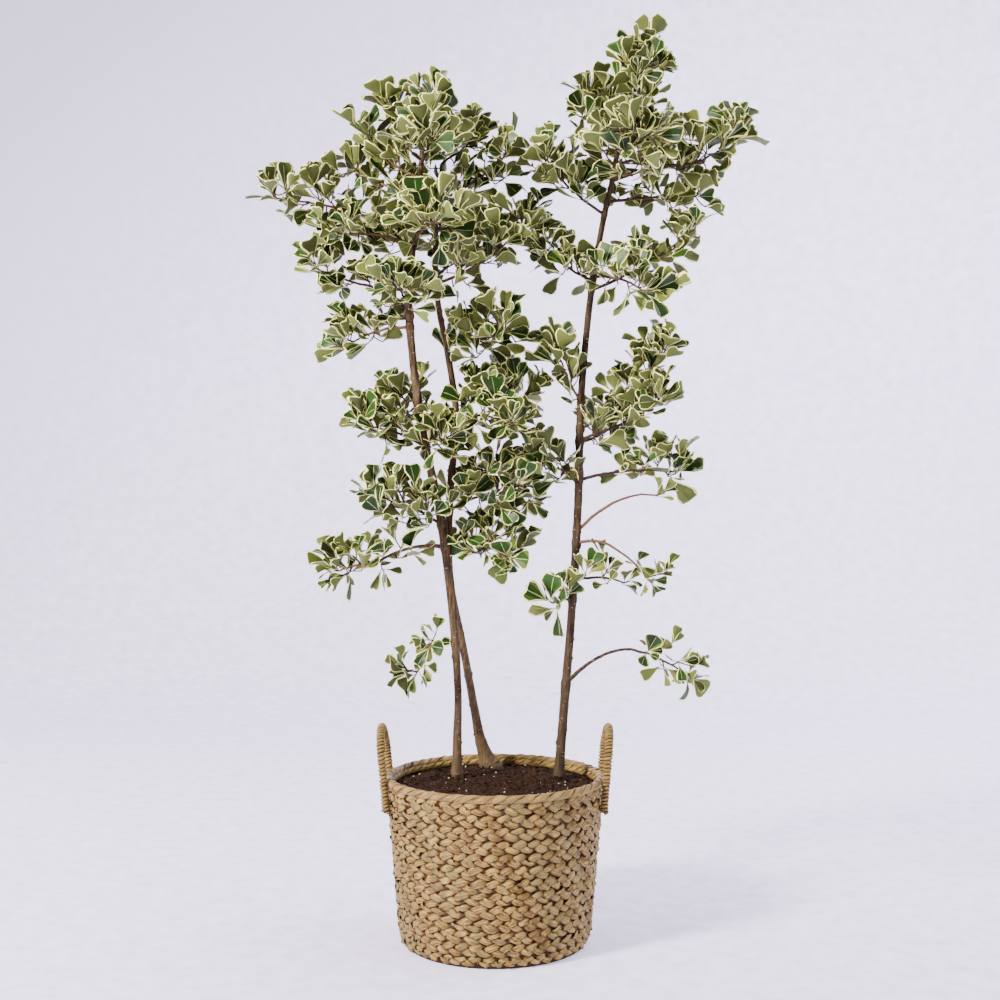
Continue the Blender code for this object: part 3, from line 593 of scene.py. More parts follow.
def bark_material(name, deep, pale, foot):
    """Smooth fig bark: long streaks, pale corky dots and scars, greyer toward the ground and darker just
    above the soil.
    """
    mat, tree, shader = started(name, 0.15)
    streak = noise_of(tree, object_place(tree, (1.0, 1.0, 0.12)), 230.0, 5.0, 0.65)
    mottle = use_group(tree, mottle_group(), {
        "Vector": object_place(tree, (1.0, 1.0, 0.6)), "Scale": 34.0, "Softness": 0.24,
    })
    colour = mixed(tree, ranged(tree, streak, 0.4, 0.62), rgba(deep), rgba(pale))
    colour = mixed(tree, maths(tree, "MULTIPLY", mottle["Mask"], 0.38), colour, rgba(foot))
    dots = add(tree, "ShaderNodeTexVoronoi", {
        "Vector": object_place(tree, (1.0, 1.0, 2.1)), "Scale": 95.0, "Randomness": 1.0,
    }).outputs["Distance"]
    cork = maths(tree, "MULTIPLY", ranged(tree, dots, 0.27, 0.14),
                 ranged(tree, noise_of(tree, object_place(tree), 60.0, 1.0), 0.5, 0.56))
    colour = mixed(tree, maths(tree, "MULTIPLY", cork, 0.75), colour, rgba(CORK))
    height = add(tree, "ShaderNodeSeparateXYZ", {0: object_place(tree)}).outputs[2]
    low = ranged(tree, height, SOIL_TOP + 0.16, SOIL_TOP + 0.01, 0.0, 0.4)
    colour = mixed(tree, low, colour, rgba(foot, 0.8))
    # The bark turns darker just above the soil
    edge = maths(tree, "ADD", height, maths(tree, "MULTIPLY", mottle["Grain"], 0.014))
    colour = mixed(tree, ranged(tree, edge, SOIL_TOP + 0.019, SOIL_TOP + 0.006, 0.0, 0.75), colour,
                   rgba(SOIL_LINE_BARK))
    tree.links.new(colour, shader.inputs["Base Color"])
    tree.links.new(ranged(tree, mottle["Grain"], 0.3, 0.7, 0.62, 0.86), shader.inputs["Roughness"])
    grained = maths(tree, "ADD", streak, maths(tree, "MULTIPLY", mottle["Grain"], 0.5))
    rough = maths(tree, "ADD", grained, cork)
    bumped(tree, shader, rough, 0.7 * MM)
    return mat


def living_material(name, colour, gloss, vein_scale, depth):
    """One plain colour of a leaf or a green twig, with fine veins in its gloss and relief."""
    mat, tree, shader = started(name, 0.25)
    shader.inputs["Base Color"].default_value = rgba(colour)
    veins = noise_of(tree, object_place(tree), vein_scale, 3.0)
    tree.links.new(ranged(tree, veins, 0.3, 0.7, gloss, gloss + 0.18), shader.inputs["Roughness"])
    bumped(tree, shader, veins, depth)
    return mat


# Basket pieces

def wall_radius(height):
    return BASE_RADIUS + (RIM_RADIUS - BASE_RADIUS) * height / BASKET_HEIGHT


def strand_mesh():
    """A new bmesh that keeps a tone and a painted shade for each point of its strands."""
    bm = bmesh.new()
    for name in ("tone", "shade"):
        bm.verts.layers.float.new(name)
    return bm


def dealt(rng, index, low, high):
    """A random value for each whole index, the same wherever the index comes again."""
    values = {k: rng.uniform(low, high) for k in sorted(set(index.tolist()))}
    return np.array([values[k] for k in index.tolist()])


def around(turn, scale, shift):
    """Smooth noise round a closed ring."""
    return np.array([noise.noise((math.cos(t) * scale, math.sin(t) * scale, shift)) for t in turn])


def strand_tube(bm, centre, face, wide, thick, crown, tone, shade, length, closed=True):
    """One flat strand of straw: a lens-shaped section carried along its middle line."""
    tangent = np.roll(centre, -1, 0) - np.roll(centre, 1, 0)
    if not closed:
        tangent[0], tangent[-1] = centre[1] - centre[0], centre[-1] - centre[-2]
    side = np.cross(face, tangent)
    side /= np.linalg.norm(side, axis=1)[:, None]
    face = np.cross(tangent, side)
    face /= np.linalg.norm(face, axis=1)[:, None]
    across, out = lens(STRAND_SIDES)
    points = centre[:, None] + side[:, None] * (across[None, :, None] * wide[:, None, None])
    points = points + face[:, None] * (out * thick + crown * (1 - across ** 2))[None, :, None]
    # Painted shade: the shade falls off sharply at each strand's edges, as dark lines between strands and
    # between turns of a cord, and the back of the strand, turned inwards, is darker
    edge = np.abs(across)[None]
    tone = np.clip(tone[:, None] + 0.45 * edge ** 4, 0, 1)
    shade = np.clip(shade[:, None] - 1.3 * edge ** 5, 0, 1) * np.where(out < -0.2, 0.25, 1.0)[None]
    rolled_grid(bm, points, length, 40 * MM, closed=closed, values={"tone": tone, "shade": shade})


def plait_row(bm, row, height, radius, rise, half_width):
    """Three flat strands that cross over each other in one closed row of plait."""
    rng = random.Random(40 + row)
    steps = PLAIT_PERIODS * STRAND_STEPS
    turn = circle(steps)
    drift = 1.3 * around(turn, 1.2, row * 0.12) + 0.3 * around(turn, 5.0, row * 3.1)
    drift += rng.uniform(-0.12, 0.12)
    sway = 1.3 * MM * around(turn, 1.5, 50 + row * 0.3) + 0.7 * MM * around(turn, 4.0, row * 2.0)
    outward = level_spokes(turn)
    for strand in range(3):
        wave = PLAIT_PERIODS * turn + strand * 2 * math.pi / 3 + drift + rng.uniform(-0.2, 0.2)
        grown = rng.uniform(0.85, 1.18)
        jitter = around(turn, 26, rng.uniform(0, 100))
        wobble = around(turn, 9, rng.uniform(0, 100))
        over = np.tanh(PLAIT_SHARPNESS * np.sin(2 * wave)) / math.tanh(PLAIT_SHARPNESS)
        piece = np.floor((wave + math.pi / 4) / (math.pi / 2)).astype(int) % (4 * PLAIT_PERIODS)
        lifted = dealt(rng, piece, -1.0, 1.0)
        wide = half_width * grown * (0.88 + 0.2 * over) * (1 + 0.3 * wobble)
        centre = outward * (radius + PLAIT_DEPTH * over + 0.8 * MM * wobble + 0.5 * MM * lifted)[:, None]
        centre[:, 2] = height + rise * np.sin(wave) + sway + 1.2 * MM * jitter
        roll = 0.25 * np.sin(wave) + 1.0 * jitter + 0.3 * wobble
        face = outward * np.cos(roll)[:, None]
        face[:, 2] = np.sin(roll)
        tone = np.clip(0.35 + 0.6 * wobble + 0.4 * lifted, 0, 1)
        # Painted shade: a strand darkens toward the ends of each piece, where it dives under its neighbours
        shade = np.clip(0.04 + 1.15 * (0.5 + 0.5 * over), 0, 1)
        strand_tube(bm, centre, face, wide, STRAND_THICK, STRAND_CROWN, tone, shade, 2 * math.pi * radius)


def loose_ends(bm, count):
    """Short frayed slivers of straw that lift off the wall."""
    rng = random.Random(77)
    for _ in range(count):
        turn, height = rng.uniform(0, 2 * math.pi), rng.uniform(8 * MM, BASKET_HEIGHT - 12 * MM)
        outward = np.array([math.cos(turn), math.sin(turn), 0.0])
        ahead = np.array([-math.sin(turn), math.cos(turn), rng.uniform(-0.7, 0.7)]) * rng.choice((-1, 1))
        length = rng.uniform(7, 17) * MM
        t = np.linspace(0, 1, 5)[:, None]
        centre = outward * (wall_radius(height) - 1.6 * MM) + ahead * t * length
        centre += outward * t ** 2 * 0.12 * length
        centre[:, 2] += height
        wide = rng.uniform(0.5, 1.1) * MM * (1.05 - t[:, 0])
        tone, shade = np.full(5, rng.random()), np.full(5, rng.uniform(0.7, 1.0))
        face = np.tile(outward, (5, 1))
        strand_tube(bm, centre, face, wide, 0.3 * MM, 0.1 * MM, tone, shade, length, closed=False)


def twisted_ring(bm, radius, height, half_wide, half_tall, turns, strands, half_width, seed):
    """Strands laid round each other like a flat rope, in a closed ring."""
    rng = random.Random(seed)
    steps = turns * 24
    turn = circle(steps)
    outward = level_spokes(turn)
    for strand in range(strands):
        jitter = around(turn, 22, rng.uniform(0, 100))
        wobble = around(turn, 8, rng.uniform(0, 100))
        wave = turns * turn + strand * 2 * math.pi / strands + 0.5 * wobble
        centre = outward * (radius + half_wide * np.cos(wave))[:, None]
        centre[:, 2] = height + half_tall * np.sin(wave) + 0.7 * MM * jitter
        face = outward * (np.cos(wave) / half_wide)[:, None]
        face[:, 2] = np.sin(wave) / half_tall
        piece = np.floor(wave / (2 * math.pi)).astype(int)
        tone = np.clip(0.35 + 0.5 * wobble + 0.3 * dealt(rng, piece, -1.0, 1.0), 0, 1)
        wide = half_width * (1 + 0.3 * jitter)
        strand_tube(bm, centre, face, wide, 1.9 * MM, 0.9 * MM, tone, np.ones(steps), 2 * math.pi * radius)


def turned(profile, steps):
    """A closed body: a profile of radius and height, spun round the Z axis."""
    bm = bmesh.new()
    verts = [bm.verts.new((radius, 0.0, height)) for radius, height in profile]
    edges = [bm.edges.new(pair) for pair in zip(verts, verts[1:])]
    bmesh.ops.spin(bm, geom=verts + edges, cent=(0, 0, 0), axis=(0, 0, 1), angle=2 * math.pi,
                   steps=steps, use_merge=True)
    sealed(bm)
    return bm


def handle_path(side):
    """From the foot of one leg, up over the top and down the other, close to the wall."""
    half = HANDLE_HALF_WIDTH
    outline = [(half, HANDLE_FOOT), (half, BASKET_HEIGHT - 6 * MM), (half, HANDLE_SHOULDER)]
    for k in range(1, 12):
        turn = math.pi * k / 12
        outline.append((
            half * math.cos(turn), HANDLE_SHOULDER + (HANDLE_TOP - HANDLE_SHOULDER) * math.sin(turn)
        ))
    outline += [(-y, z) for y, z in outline[2::-1]]
    path = []
    for y, z in outline:
        level = min(z, BASKET_HEIGHT - 5 * MM)
        out = math.sqrt((wall_radius(level) + HANDLE_SEAT) ** 2 - half ** 2)
        out += HANDLE_LEAN * max(z - BASKET_HEIGHT, 0.0) / (HANDLE_TOP - BASKET_HEIGHT)
        path.append((side * out, y, z))
    return path


def even_path(path, step):
    """The same path with points about one step apart, rounded at its corners."""
    path = np.asarray(path, float)
    fine = np.array([
        curved(a, b, c, d, t)
        for a, b, c, d in zip(path[[0, *range(len(path) - 2)]], path[:-1], path[1:],
                              path[[*range(2, len(path)), len(path) - 1]])
        for t in np.arange(8) / 8
    ] + [path[-1]])
    reach = np.concatenate([[0], np.cumsum(np.linalg.norm(np.diff(fine, axis=0), axis=1))])
    count = max(int(reach[-1] / step), 2)
    at = np.linspace(0, reach[-1], count + 1)
    return np.stack([np.interp(at, reach, fine[:, k]) for k in range(3)], 1), reach[-1]


def wrapped_handle(bm, path, pitch, seed):
    """A cord wound tightly round a handle's core from foot to foot, fuller at the feet."""
    rng = random.Random(seed)
    spine, length = even_path(path, 1.0 * MM)
    _, sides, overs = frames_along(spine)
    turns = length / pitch
    steps = int(turns * 18)
    at = np.arange(steps + 1) / steps
    where = at * (len(spine) - 1)
    low = np.minimum(where.astype(int), len(spine) - 2)
    part = (where - low)[:, None]

    def between(values):
        return values[low] * (1 - part) + values[low + 1] * part

    angle = 2 * math.pi * turns * at
    side, over, middle = between(sides), between(overs), between(spine)
    out = side * np.cos(angle)[:, None] + over * np.sin(angle)[:, None]
    end = np.minimum(at, 1 - at) * length
    full = 1 + 0.25 * np.exp(-(end / (12 * MM)) ** 2)
    slack = np.array([noise.noise((a * 46, seed, 0.0)) for a in at])
    coil = dealt(rng, np.floor(turns * at).astype(int), -1.0, 1.0)
    cord = pitch * 0.44 * (1 + 0.2 * slack + 0.14 * coil)
    reach = (HANDLE_ROPE - 3.0 * MM) * full + 0.7 * MM * slack + 0.25 * MM * coil
    centre = middle + out * reach[:, None]
    tone = np.clip(0.4 + 0.5 * slack + 0.25 * coil, 0, 1)
    shade = np.ones(steps + 1)
    strand_tube(bm, centre, out, cord, 2.5 * MM, 0.5 * MM, tone, shade, length * 3, closed=False)


# Limbs

def spline(stations, count):
    """Points on a smooth curve through stations of any length, evenly spread over them."""
    last = len(stations) - 1
    points = []
    for k in range(count):
        at = k / (count - 1) * last
        i = min(int(at), last - 1)
        t = at - i
        four = [stations[min(max(i + j, 0), last)] for j in (-1, 0, 1, 2)]
        points.append(tuple(curved(a, b, c, d, t) for a, b, c, d in zip(*four)))
    return points


def bend(start, end, arch, count):
    """A limb's path: its middle stands over the straight line by arch."""
    middle = (start + end) / 2 + UP * 2 * arch
    return [
        start * (1 - t) ** 2 + middle * 2 * t * (1 - t) + end * t ** 2
        for t in (k / (count - 1) for k in range(count))
    ]


def along_path(path, share):
    """The point and the direction at a share of the way along a path."""
    at = min(max(share, 0.0), 1.0) * (len(path) - 1)
    i = min(int(at), len(path) - 2)
    step = path[i + 1] - path[i]
    return path[i] + step * (at - i), step.normalized()


def heading(bearing):
    return Vector((math.cos(math.radians(bearing)), math.sin(math.radians(bearing)), 0.0))


def limb_at(path, height):
    """The point of a limb's path at a height, or its tip."""
    if height is None:
        return path[-1]
    for a, b in zip(path, path[1:]):
        if a.z <= height <= b.z:
            return a.lerp(b, (height - a.z) / (b.z - a.z))
    raise ValueError("no limb at that height")


def limb_path(limb, height, bearing, reach, rise, arch, count):
    """From the middle of the limb that carries it to its own tip."""
    root = limb_at(limb, None if height is None else height * MM)
    tip = root + heading(bearing) * reach * MM + UP * rise * MM
    return bend(root, tip, arch * MM, count)


def stem_path(stations):
    """A stem's path and radii from ground level to its tip, a few millimetres apart."""
    fine = [(Vector((x, y, z)) * MM, r * MM) for z, x, y, r in spline(stations, 320)]
    return [place for place, _ in fine], [radius for _, radius in fine]


def barked(bm, path, radii, sides, knots, seed, folds=None):
    """A limb with bark relief: long hollows, ring scars, swellings at its knots and a folded foot."""
    path = np.array([tuple(p) for p in path])
    ring = spokes(path, sides)
    sizes = np.empty((len(path), sides))
    rng = random.Random(seed)
    buds = [
        (rng.randrange(len(path)), rng.randrange(sides), rng.uniform(0.12, 0.34))
        for _ in range(len(path) // 7)
    ]
    for i, place in enumerate(path):
        scar = noise.noise((0.0, seed * 3.1, place[2] * 55))
        swell = sum(
            0.2 * math.exp(-((place[2] - z) / (7 * MM)) ** 2) for z in knots if abs(place[2] - z) < 0.03
        )
        for j in range(sides):
            spot = ring[i, j]
            hollow = noise.noise((spot[0] * 1.6, spot[1] * 1.6, place[2] * 9 + seed))
            fine = noise.noise((spot[0] * 6, spot[1] * 6, place[2] * 60 + seed))
            size = radii[i] * (1 + 0.07 * hollow + 0.035 * fine + min(swell, 0.34))
            size *= 1 + 0.045 * max(scar - 0.25, 0) * 4
            if folds:
                size *= folds(place, spot)
            sizes[i, j] = size
    for i, j, lift in buds:
        for k in range(max(i - 2, 0), min(i + 3, len(path))):
            for turned_by in range(-3, 4):
                near = math.exp(-((k - i) / 0.9) ** 2 - (turned_by / 1.5) ** 2)
                sizes[k, (j + turned_by) % sides] *= 1 + lift * near
    points = path[:, None] + ring * sizes[:, :, None]
    rolled_grid(bm, points)


def foot_folds(flare, foot):
    """How the foot of a stem widens into folds toward the soil."""
    wider, over, count, bearing = flare

    def folds(place, out):
        turn = math.atan2(out[1], out[0]) - math.radians(bearing)
        fade = math.exp(-(place[2] - foot) / (over * MM))
        return 1 + fade * wider * (1 + 0.3 * math.cos(count * turn) + 0.5 * math.cos(turn))

    return folds


# Leaves

def stem_of(row):
    """The stem that a mass grows from, straight or by way of a bough."""
    return row[0] if row[0] in STEMS else BOUGHS[row[0]][0]


def turned_up(direction, lift):
    return (direction * 0.6 + UP * lift).normalized()


def twig_path(rng, path, bare, wide, tall, lift_end, index, count):
    """A twig turned round its stem by the golden angle, with a short erect end that holds leaves."""
    share = bare + (1 - bare) * (index + rng.uniform(0.15, 0.75)) / count
    root, direction = along_path(path, share)
    turn = GOLDEN * index + rng.uniform(-0.35, 0.35)
    side = direction.cross(UP).normalized()
    lift = side.cross(direction)
    across, over = math.cos(turn) * wide, math.sin(turn) * tall
    over = over if over > 0 else over * 0.55
    fill = rng.uniform(0.5, 0.7) if index % 3 == 1 else rng.uniform(0.88, 1.12)
    room = math.hypot(across, over) * fill * (1 - 0.25 * share)
    length = max(room - 19 * MM, 13 * MM)
    away = (side * across + lift * over).normalized()
    away = (away * 0.8 + direction * 0.5 + UP * 0.3).normalized()
    neck = root + away * length
    return [root, neck, neck + turned_up(away, lift_end) * 9 * MM]


def crooked(rng, path, count, sway):
    """A path with more points on it, bent a little this way and that as a woody twig is."""
    made = []
    for k in range(count):
        point, direction = along_path(path, k / (count - 1))
        if 0 < k < count - 1:
            side = direction.orthogonal().normalized()
            turn = rng.uniform(0, 2 * math.pi)
            point = point + (Matrix.Rotation(turn, 3, direction) @ side) * sway * rng.uniform(0.3, 1)
        made.append(point)
    return made


class Spaces:
    """Each mass keeps to the points that lie nearest its own stem, measured by its size."""

    def __init__(self):
        self.stems = {}

    def add(self, name, path, size):
        self.stems[name] = (path, size)

    def distance(self, name, point):
        path, size = self.stems[name]
        best = 1e9
        for a, b in zip(path, path[1:]):
            step = b - a
            t = min(max((point - a).dot(step) / step.length_squared, 0.0), 1.0)
            best = min(best, (point - a - step * t).length)
        return best / size

    def holds(self, name, point):
        path = self.stems[name][0]
        own = self.distance(name, point)
        for other, (there, _) in self.stems.items():
            if other == name or (there[len(there) // 2] - path[len(path) // 2]).length > 0.3:
                continue
            if self.distance(other, point) < own + SPACE_GUARD:
                return False
        return True


class Crowd:
    """Knows where leaves already are, so that no two grow through each other."""

    def __init__(self):
        self.cells = {}

    def near(self, centre):
        x, y, z = (int(math.floor(c / CROWD_CELL)) for c in centre)
        for i in (x - 1, x, x + 1):
            for j in (y - 1, y, y + 1):
                for k in (z - 1, z, z + 1):
                    yield from self.cells.get((i, j, k), ())

    def free(self, centre, tree):
        return not any(tree.overlap(other) for other in self.near(centre))

    def add(self, centre, tree):
        key = tuple(int(math.floor(c / CROWD_CELL)) for c in centre)
        self.cells.setdefault(key, []).append(tree)


def leaf_block(root, along, face, length, wide):
    """A thin wedge in a leaf's place, to test it against the others."""
    across = face.cross(along)
    points = []
    for reach in (0.22, 0.96):
        for side in (-1, 1):
            for level in (-1, 1):
                points.append(root + along * length * reach
                              + across * side * length * wide * 0.5 * (0.28 if reach < 0.5 else 0.9)
                              + face * level * 0.6 * MM)
    faces = [(0, 1, 3, 2), (4, 6, 7, 5), (0, 4, 5, 1), (2, 3, 7, 6), (0, 2, 6, 4), (1, 5, 7, 3)]
    return BVHTree.FromPolygons(points, faces)


def leaf_arrays(leaf):
    """One leaf: a blade folded on its midrib, in bands of dark, sage and cream, with a paler underside."""
    rng = random.Random(leaf["seed"])
    length, half = leaf["length"], leaf["wide"] / 2
    margin = rng.uniform(0.025, 0.06) * (1.8 if rng.random() < 0.12 else 1.0)
    spoon = rng.uniform(0.0, 1.1)
    notch = rng.choice((0.0, 0.04, 0.08, 0.13))
    fold, curl, twist = math.tan(leaf["fold"]), leaf["curl"], rng.uniform(-0.25, 0.25)
    wave, phase, droop = rng.uniform(0.0, 0.07), rng.uniform(0, 6.3), rng.uniform(0.2, 0.8)
    plain = rng.random() < 0.12

    def place(x, y, drop=0.0):
        share = abs(x) / half
        z = abs(x) * fold * (1 - droop * share) + curl * (y - 0.2) ** 2 + twist * x * y
        z += wave * share ** 2 * math.sin(6 * y + phase + (1.7 if x > 0 else 0))
        return x, y, z - drop

    tops, unders = [], []
    last = len(LEAF_ROWS) - 1
    for k, (y, fan, narrow) in enumerate(LEAF_ROWS):
        edge = half * (fan + (narrow - fan) * spoon) * rng.uniform(0.95, 1.05)
        cream = max(edge - margin * rng.uniform(0.5, 1.7), edge * 0.5)
        dark = [cream * min(max(leaf["dark"] + rng.uniform(-0.35, 0.3), 0.15), 0.95) for _ in range(2)]
        rib = min(0.012, cream * 0.16)
        deep = notch * (1.0 if k == last else 0.5)
        row = []
        for x in (-edge, -cream, -dark[0], -rib, rib, dark[1], cream, edge):
            dip = 0.0
            if k >= last - 1:
                centre = 1 - min(abs(x) / (half * 0.5), 1.0)
                dip = centre * deep + (0.02 * (x / edge) ** 2 if k == last else 0)
            row.append(place(x, y - dip))
        tops.append(row)
        dip = deep if k >= last - 1 else 0.0
        unders.append([place(-cream, y, 0.009), place(0.0, y - dip, 0.009), place(cream, y, 0.009)])
    local = np.array([p for row in tops + unders for p in row]) * length
    basis = np.array([leaf["face"].cross(leaf["along"]), leaf["along"], leaf["face"]])
    points = np.array(leaf["root"]) + local @ basis
    dark_slot, sage_slot, cream_slot, under_slot, rib_slot = leaf["slots"]
    reach = rng.uniform(3.8, 5.6)
    faces, slots = [], []
    for k in range(last):
        for j in range(7):
            a = k * 8 + j
            faces.append((a, a + 1, a + 9, a + 8))
            if j in (0, 6) or k == last - 1:
                slots.append(cream_slot)
            elif j == 3:
                slots.append(rib_slot if k < last - 2 else sage_slot)
            elif j in (2, 4):
                slots.append(dark_slot if k < reach and not plain else sage_slot)
            else:
                slots.append(sage_slot)
    low = (last + 1) * 8
    for k in range(last):
        row = [k * 8, low + k * 3, low + k * 3 + 1, low + k * 3 + 2, k * 8 + 7]
        above = [k * 8 + 8, low + k * 3 + 3, low + k * 3 + 4, low + k * 3 + 5, k * 8 + 15]
        for j in range(4):
            faces.append((row[j], above[j], above[j + 1], row[j + 1]))
            slots.append(cream_slot if j in (0, 3) or k == last - 1 else under_slot)
    top = last * 8
    faces.append((*range(top, top + 8), low + last * 3 + 2, low + last * 3 + 1, low + last * 3))
    faces.append((*range(7, -1, -1), low, low + 1, low + 2))
    slots += [cream_slot, sage_slot]
    return points, faces, slots


class Crown:
    """Grows the twigs and leaves of every mass, and keeps them apart."""

    def __init__(self, leaf_length, fullness):
        self.leaf_length = leaf_length
        self.fullness = fullness
        self.crowd = Crowd()
        self.spaces = Spaces()
        self.leaves = {}
        self.nodes = {}
        self.tips = []

    def leaf(self, mass, heap, rng, root, axis, out, tilt, size, slots, young):
        """Tries a leaf at a tilt from its shoot a few times, and keeps it where it fits."""
        for attempt in range(7):
            lean = tilt + rng.uniform(-0.3, 0.3) + 0.05 * attempt
            swung = Matrix.Rotation(rng.uniform(-0.35, 0.35) * (1 + 0.3 * attempt), 3, axis) @ out
            along = axis * math.cos(lean) + swung * math.sin(lean)
            along = (along + UP * rng.uniform(0.0, 0.5)).normalized()
            face = axis * 0.8 + UP * 0.3
            face = (face - along * along.dot(face)).normalized()
            roll = rng.uniform(-0.8, 0.8) * (2.0 if rng.random() < 0.3 else 1.0)
            face = (Matrix.Rotation(roll, 3, along) @ face).normalized()
            length = size * self.leaf_length * SMALL_LEAVES.get(mass, 1.0) * (1 - 0.04 * attempt)
            wide = LEAF_WIDTH * rng.uniform(0.72, 1.2)
            stalk = PETIOLE * rng.uniform(0.7, 1.4) * min(size + 0.1, 1)
            base = root + along * stalk
            centre = base + along * length * 0.6
            if not self.spaces.holds(mass, centre):
                continue
            tree = leaf_block(base, along, face, length, wide)
            if not self.crowd.free(centre, tree):
                continue
            self.crowd.add(centre, tree)
            heap.tube([root - along * 0.6 * MM, base - along * 0.5 * MM, base + along * length * 0.05],
                      [0.75 * MM, 0.6 * MM, 0.45 * MM], 4, 2)
            if rng.random() < 0.35:
                slots = spray_slots(rng)
            self.leaves[mass].append({
                "root": base, "along": along, "face": face, "length": length, "wide": wide,
                "fold": rng.uniform(0.2, 0.85) + (0.2 if young else 0.0), "curl": rng.uniform(-0.55, 0.3),
                "dark": rng.uniform(0.55, 1.05), "slots": slots, "seed": rng.randrange(10 ** 9),
            })
            return True
        return False

    def rosette(self, mass, heap, rng, shoot, count, size, slots):
        """Leaves set round the end of a shoot, the youngest at its tip."""
        tip, axis = along_path(shoot, 1.0)
        self.tips.append(tip)
        start = rng.uniform(0, 2 * math.pi)
        side = axis.orthogonal().normalized()
        for k in range(count):
            out = Matrix.Rotation(start + GOLDEN * k, 3, axis) @ side
            if k == 0:
                self.leaf(mass, heap, rng, tip, axis, out, 0.12, size * rng.uniform(0.55, 0.85), slots, True)
                continue
            root = tip - axis * INTERNODE * (k - 0.6) * 0.8
            self.leaf(mass, heap, rng, root, axis, out, 0.62 + 0.12 * k, size * rng.uniform(0.62, 1.1),
                      slots, False)

    def twig(self, mass, heap, rng, way, first, count, size, slots, shade):
        """A crooked tapering twig along a way, with leaves at its end."""
        steps = max(4, int((way[0] - way[-1]).length / (10 * MM)))
        curve = crooked(rng, way, steps, 1.2 * MM)
        radii = [first + (1.05 * MM - first) * k / (steps - 1) for k in range(steps)]
        heap.tube(curve, radii, 5, shade)
        self.nodes[mass] += curve[1:-1]
        self.rosette(mass, heap, rng, curve, count, size, slots)
        return curve


def spray_slots(rng):
    """The five plain colours that one spray of leaves is dealt."""
    return (rng.randrange(3), 3 + rng.randrange(3), 6 + rng.randrange(2), 8 + rng.randrange(3), 11)


# Settings

class FigBasketSettings(PropertyGroup):
    rows: IntProperty(name="Rows", description="Rows of plait up the wall", default=13, min=8, max=30)
    strand: FloatProperty(name="Strand", description="Half the width of one flat strand",
                          default=6.7 * MM, unit="LENGTH", precision=4)
    pale: FloatVectorProperty(name="Pale straw", description="Lighter colour of the dry seagrass",
                              subtype="COLOR", size=3, default=(0.41, 0.270, 0.072), min=0, max=1)
    ochre: FloatVectorProperty(name="Ochre straw", description="Warmer colour of the dry seagrass",
                               subtype="COLOR", size=3, default=(0.115, 0.055, 0.008), min=0, max=1)
    ends: IntProperty(name="Loose ends", description="Frayed slivers on the wall",
                      default=170, min=0, max=2000)
    wrap: FloatProperty(name="Wrap", description="Distance between turns of cord on a handle",
                        default=6.4 * MM, unit="LENGTH", precision=4)


class FigSoilSettings(PropertyGroup):
    dark: FloatVectorProperty(name="Moist soil", description="Main colour of the potting mix",
                              subtype="COLOR", size=3, default=(0.010, 0.004, 0.0014), min=0, max=1)
    light: FloatVectorProperty(name="Dry soil", description="Colour of the drier crumbs",
                               subtype="COLOR", size=3, default=(0.040, 0.016, 0.005), min=0, max=1)
    grains: IntProperty(name="White grains", description="Grains of perlite on the soil",
                        default=90, min=0, max=2000)


class FigBarkSettings(PropertyGroup):
    deep: FloatVectorProperty(name="Deep bark", description="Darker streaks of the bark",
                              subtype="COLOR", size=3, default=(0.018, 0.009, 0.004), min=0, max=1)
    pale: FloatVectorProperty(name="Pale bark", description="Lighter streaks of the bark",
                              subtype="COLOR", size=3, default=(0.120, 0.069, 0.031), min=0, max=1)
    foot: FloatVectorProperty(name="Grey bark", description="Grey patches and the foot of a stem",
                              subtype="COLOR", size=3, default=(0.135, 0.090, 0.052), min=0, max=1)


class FigLeafSettings(PropertyGroup):
    length: FloatProperty(name="Leaf length", description="Length of a full leaf blade",
                          default=49 * MM, unit="LENGTH", precision=4)
    fullness: FloatProperty(name="Fullness", description="How many leaves each shoot carries",
                            default=0.9, min=0.2, max=2.0)
    dark: FloatVectorProperty(name="Dark green", description="Middle of a leaf",
                              subtype="COLOR", size=3, default=(0.009, 0.028, 0.003), min=0, max=1)
    sage: FloatVectorProperty(name="Sage green", description="Zone between middle and margin",
                              subtype="COLOR", size=3, default=(0.084, 0.112, 0.020), min=0, max=1)
    cream: FloatVectorProperty(name="Cream", description="Margin of a leaf",
                               subtype="COLOR", size=3, default=(0.96, 0.91, 0.32), min=0, max=1)


class FigStageSettings(PropertyGroup):
    backdrop: FloatVectorProperty(name="Backdrop", description="Colour of the floor and the backdrop",
                                  subtype="COLOR", size=3, default=(0.80, 0.755, 0.99), min=0, max=1)
    # The backdrop's glow is painted light: it shines in its own colour
    glow: FloatProperty(name="Glow", description="Light that the backdrop gives back evenly",
                        default=0.74, min=0, max=3)


# Operators

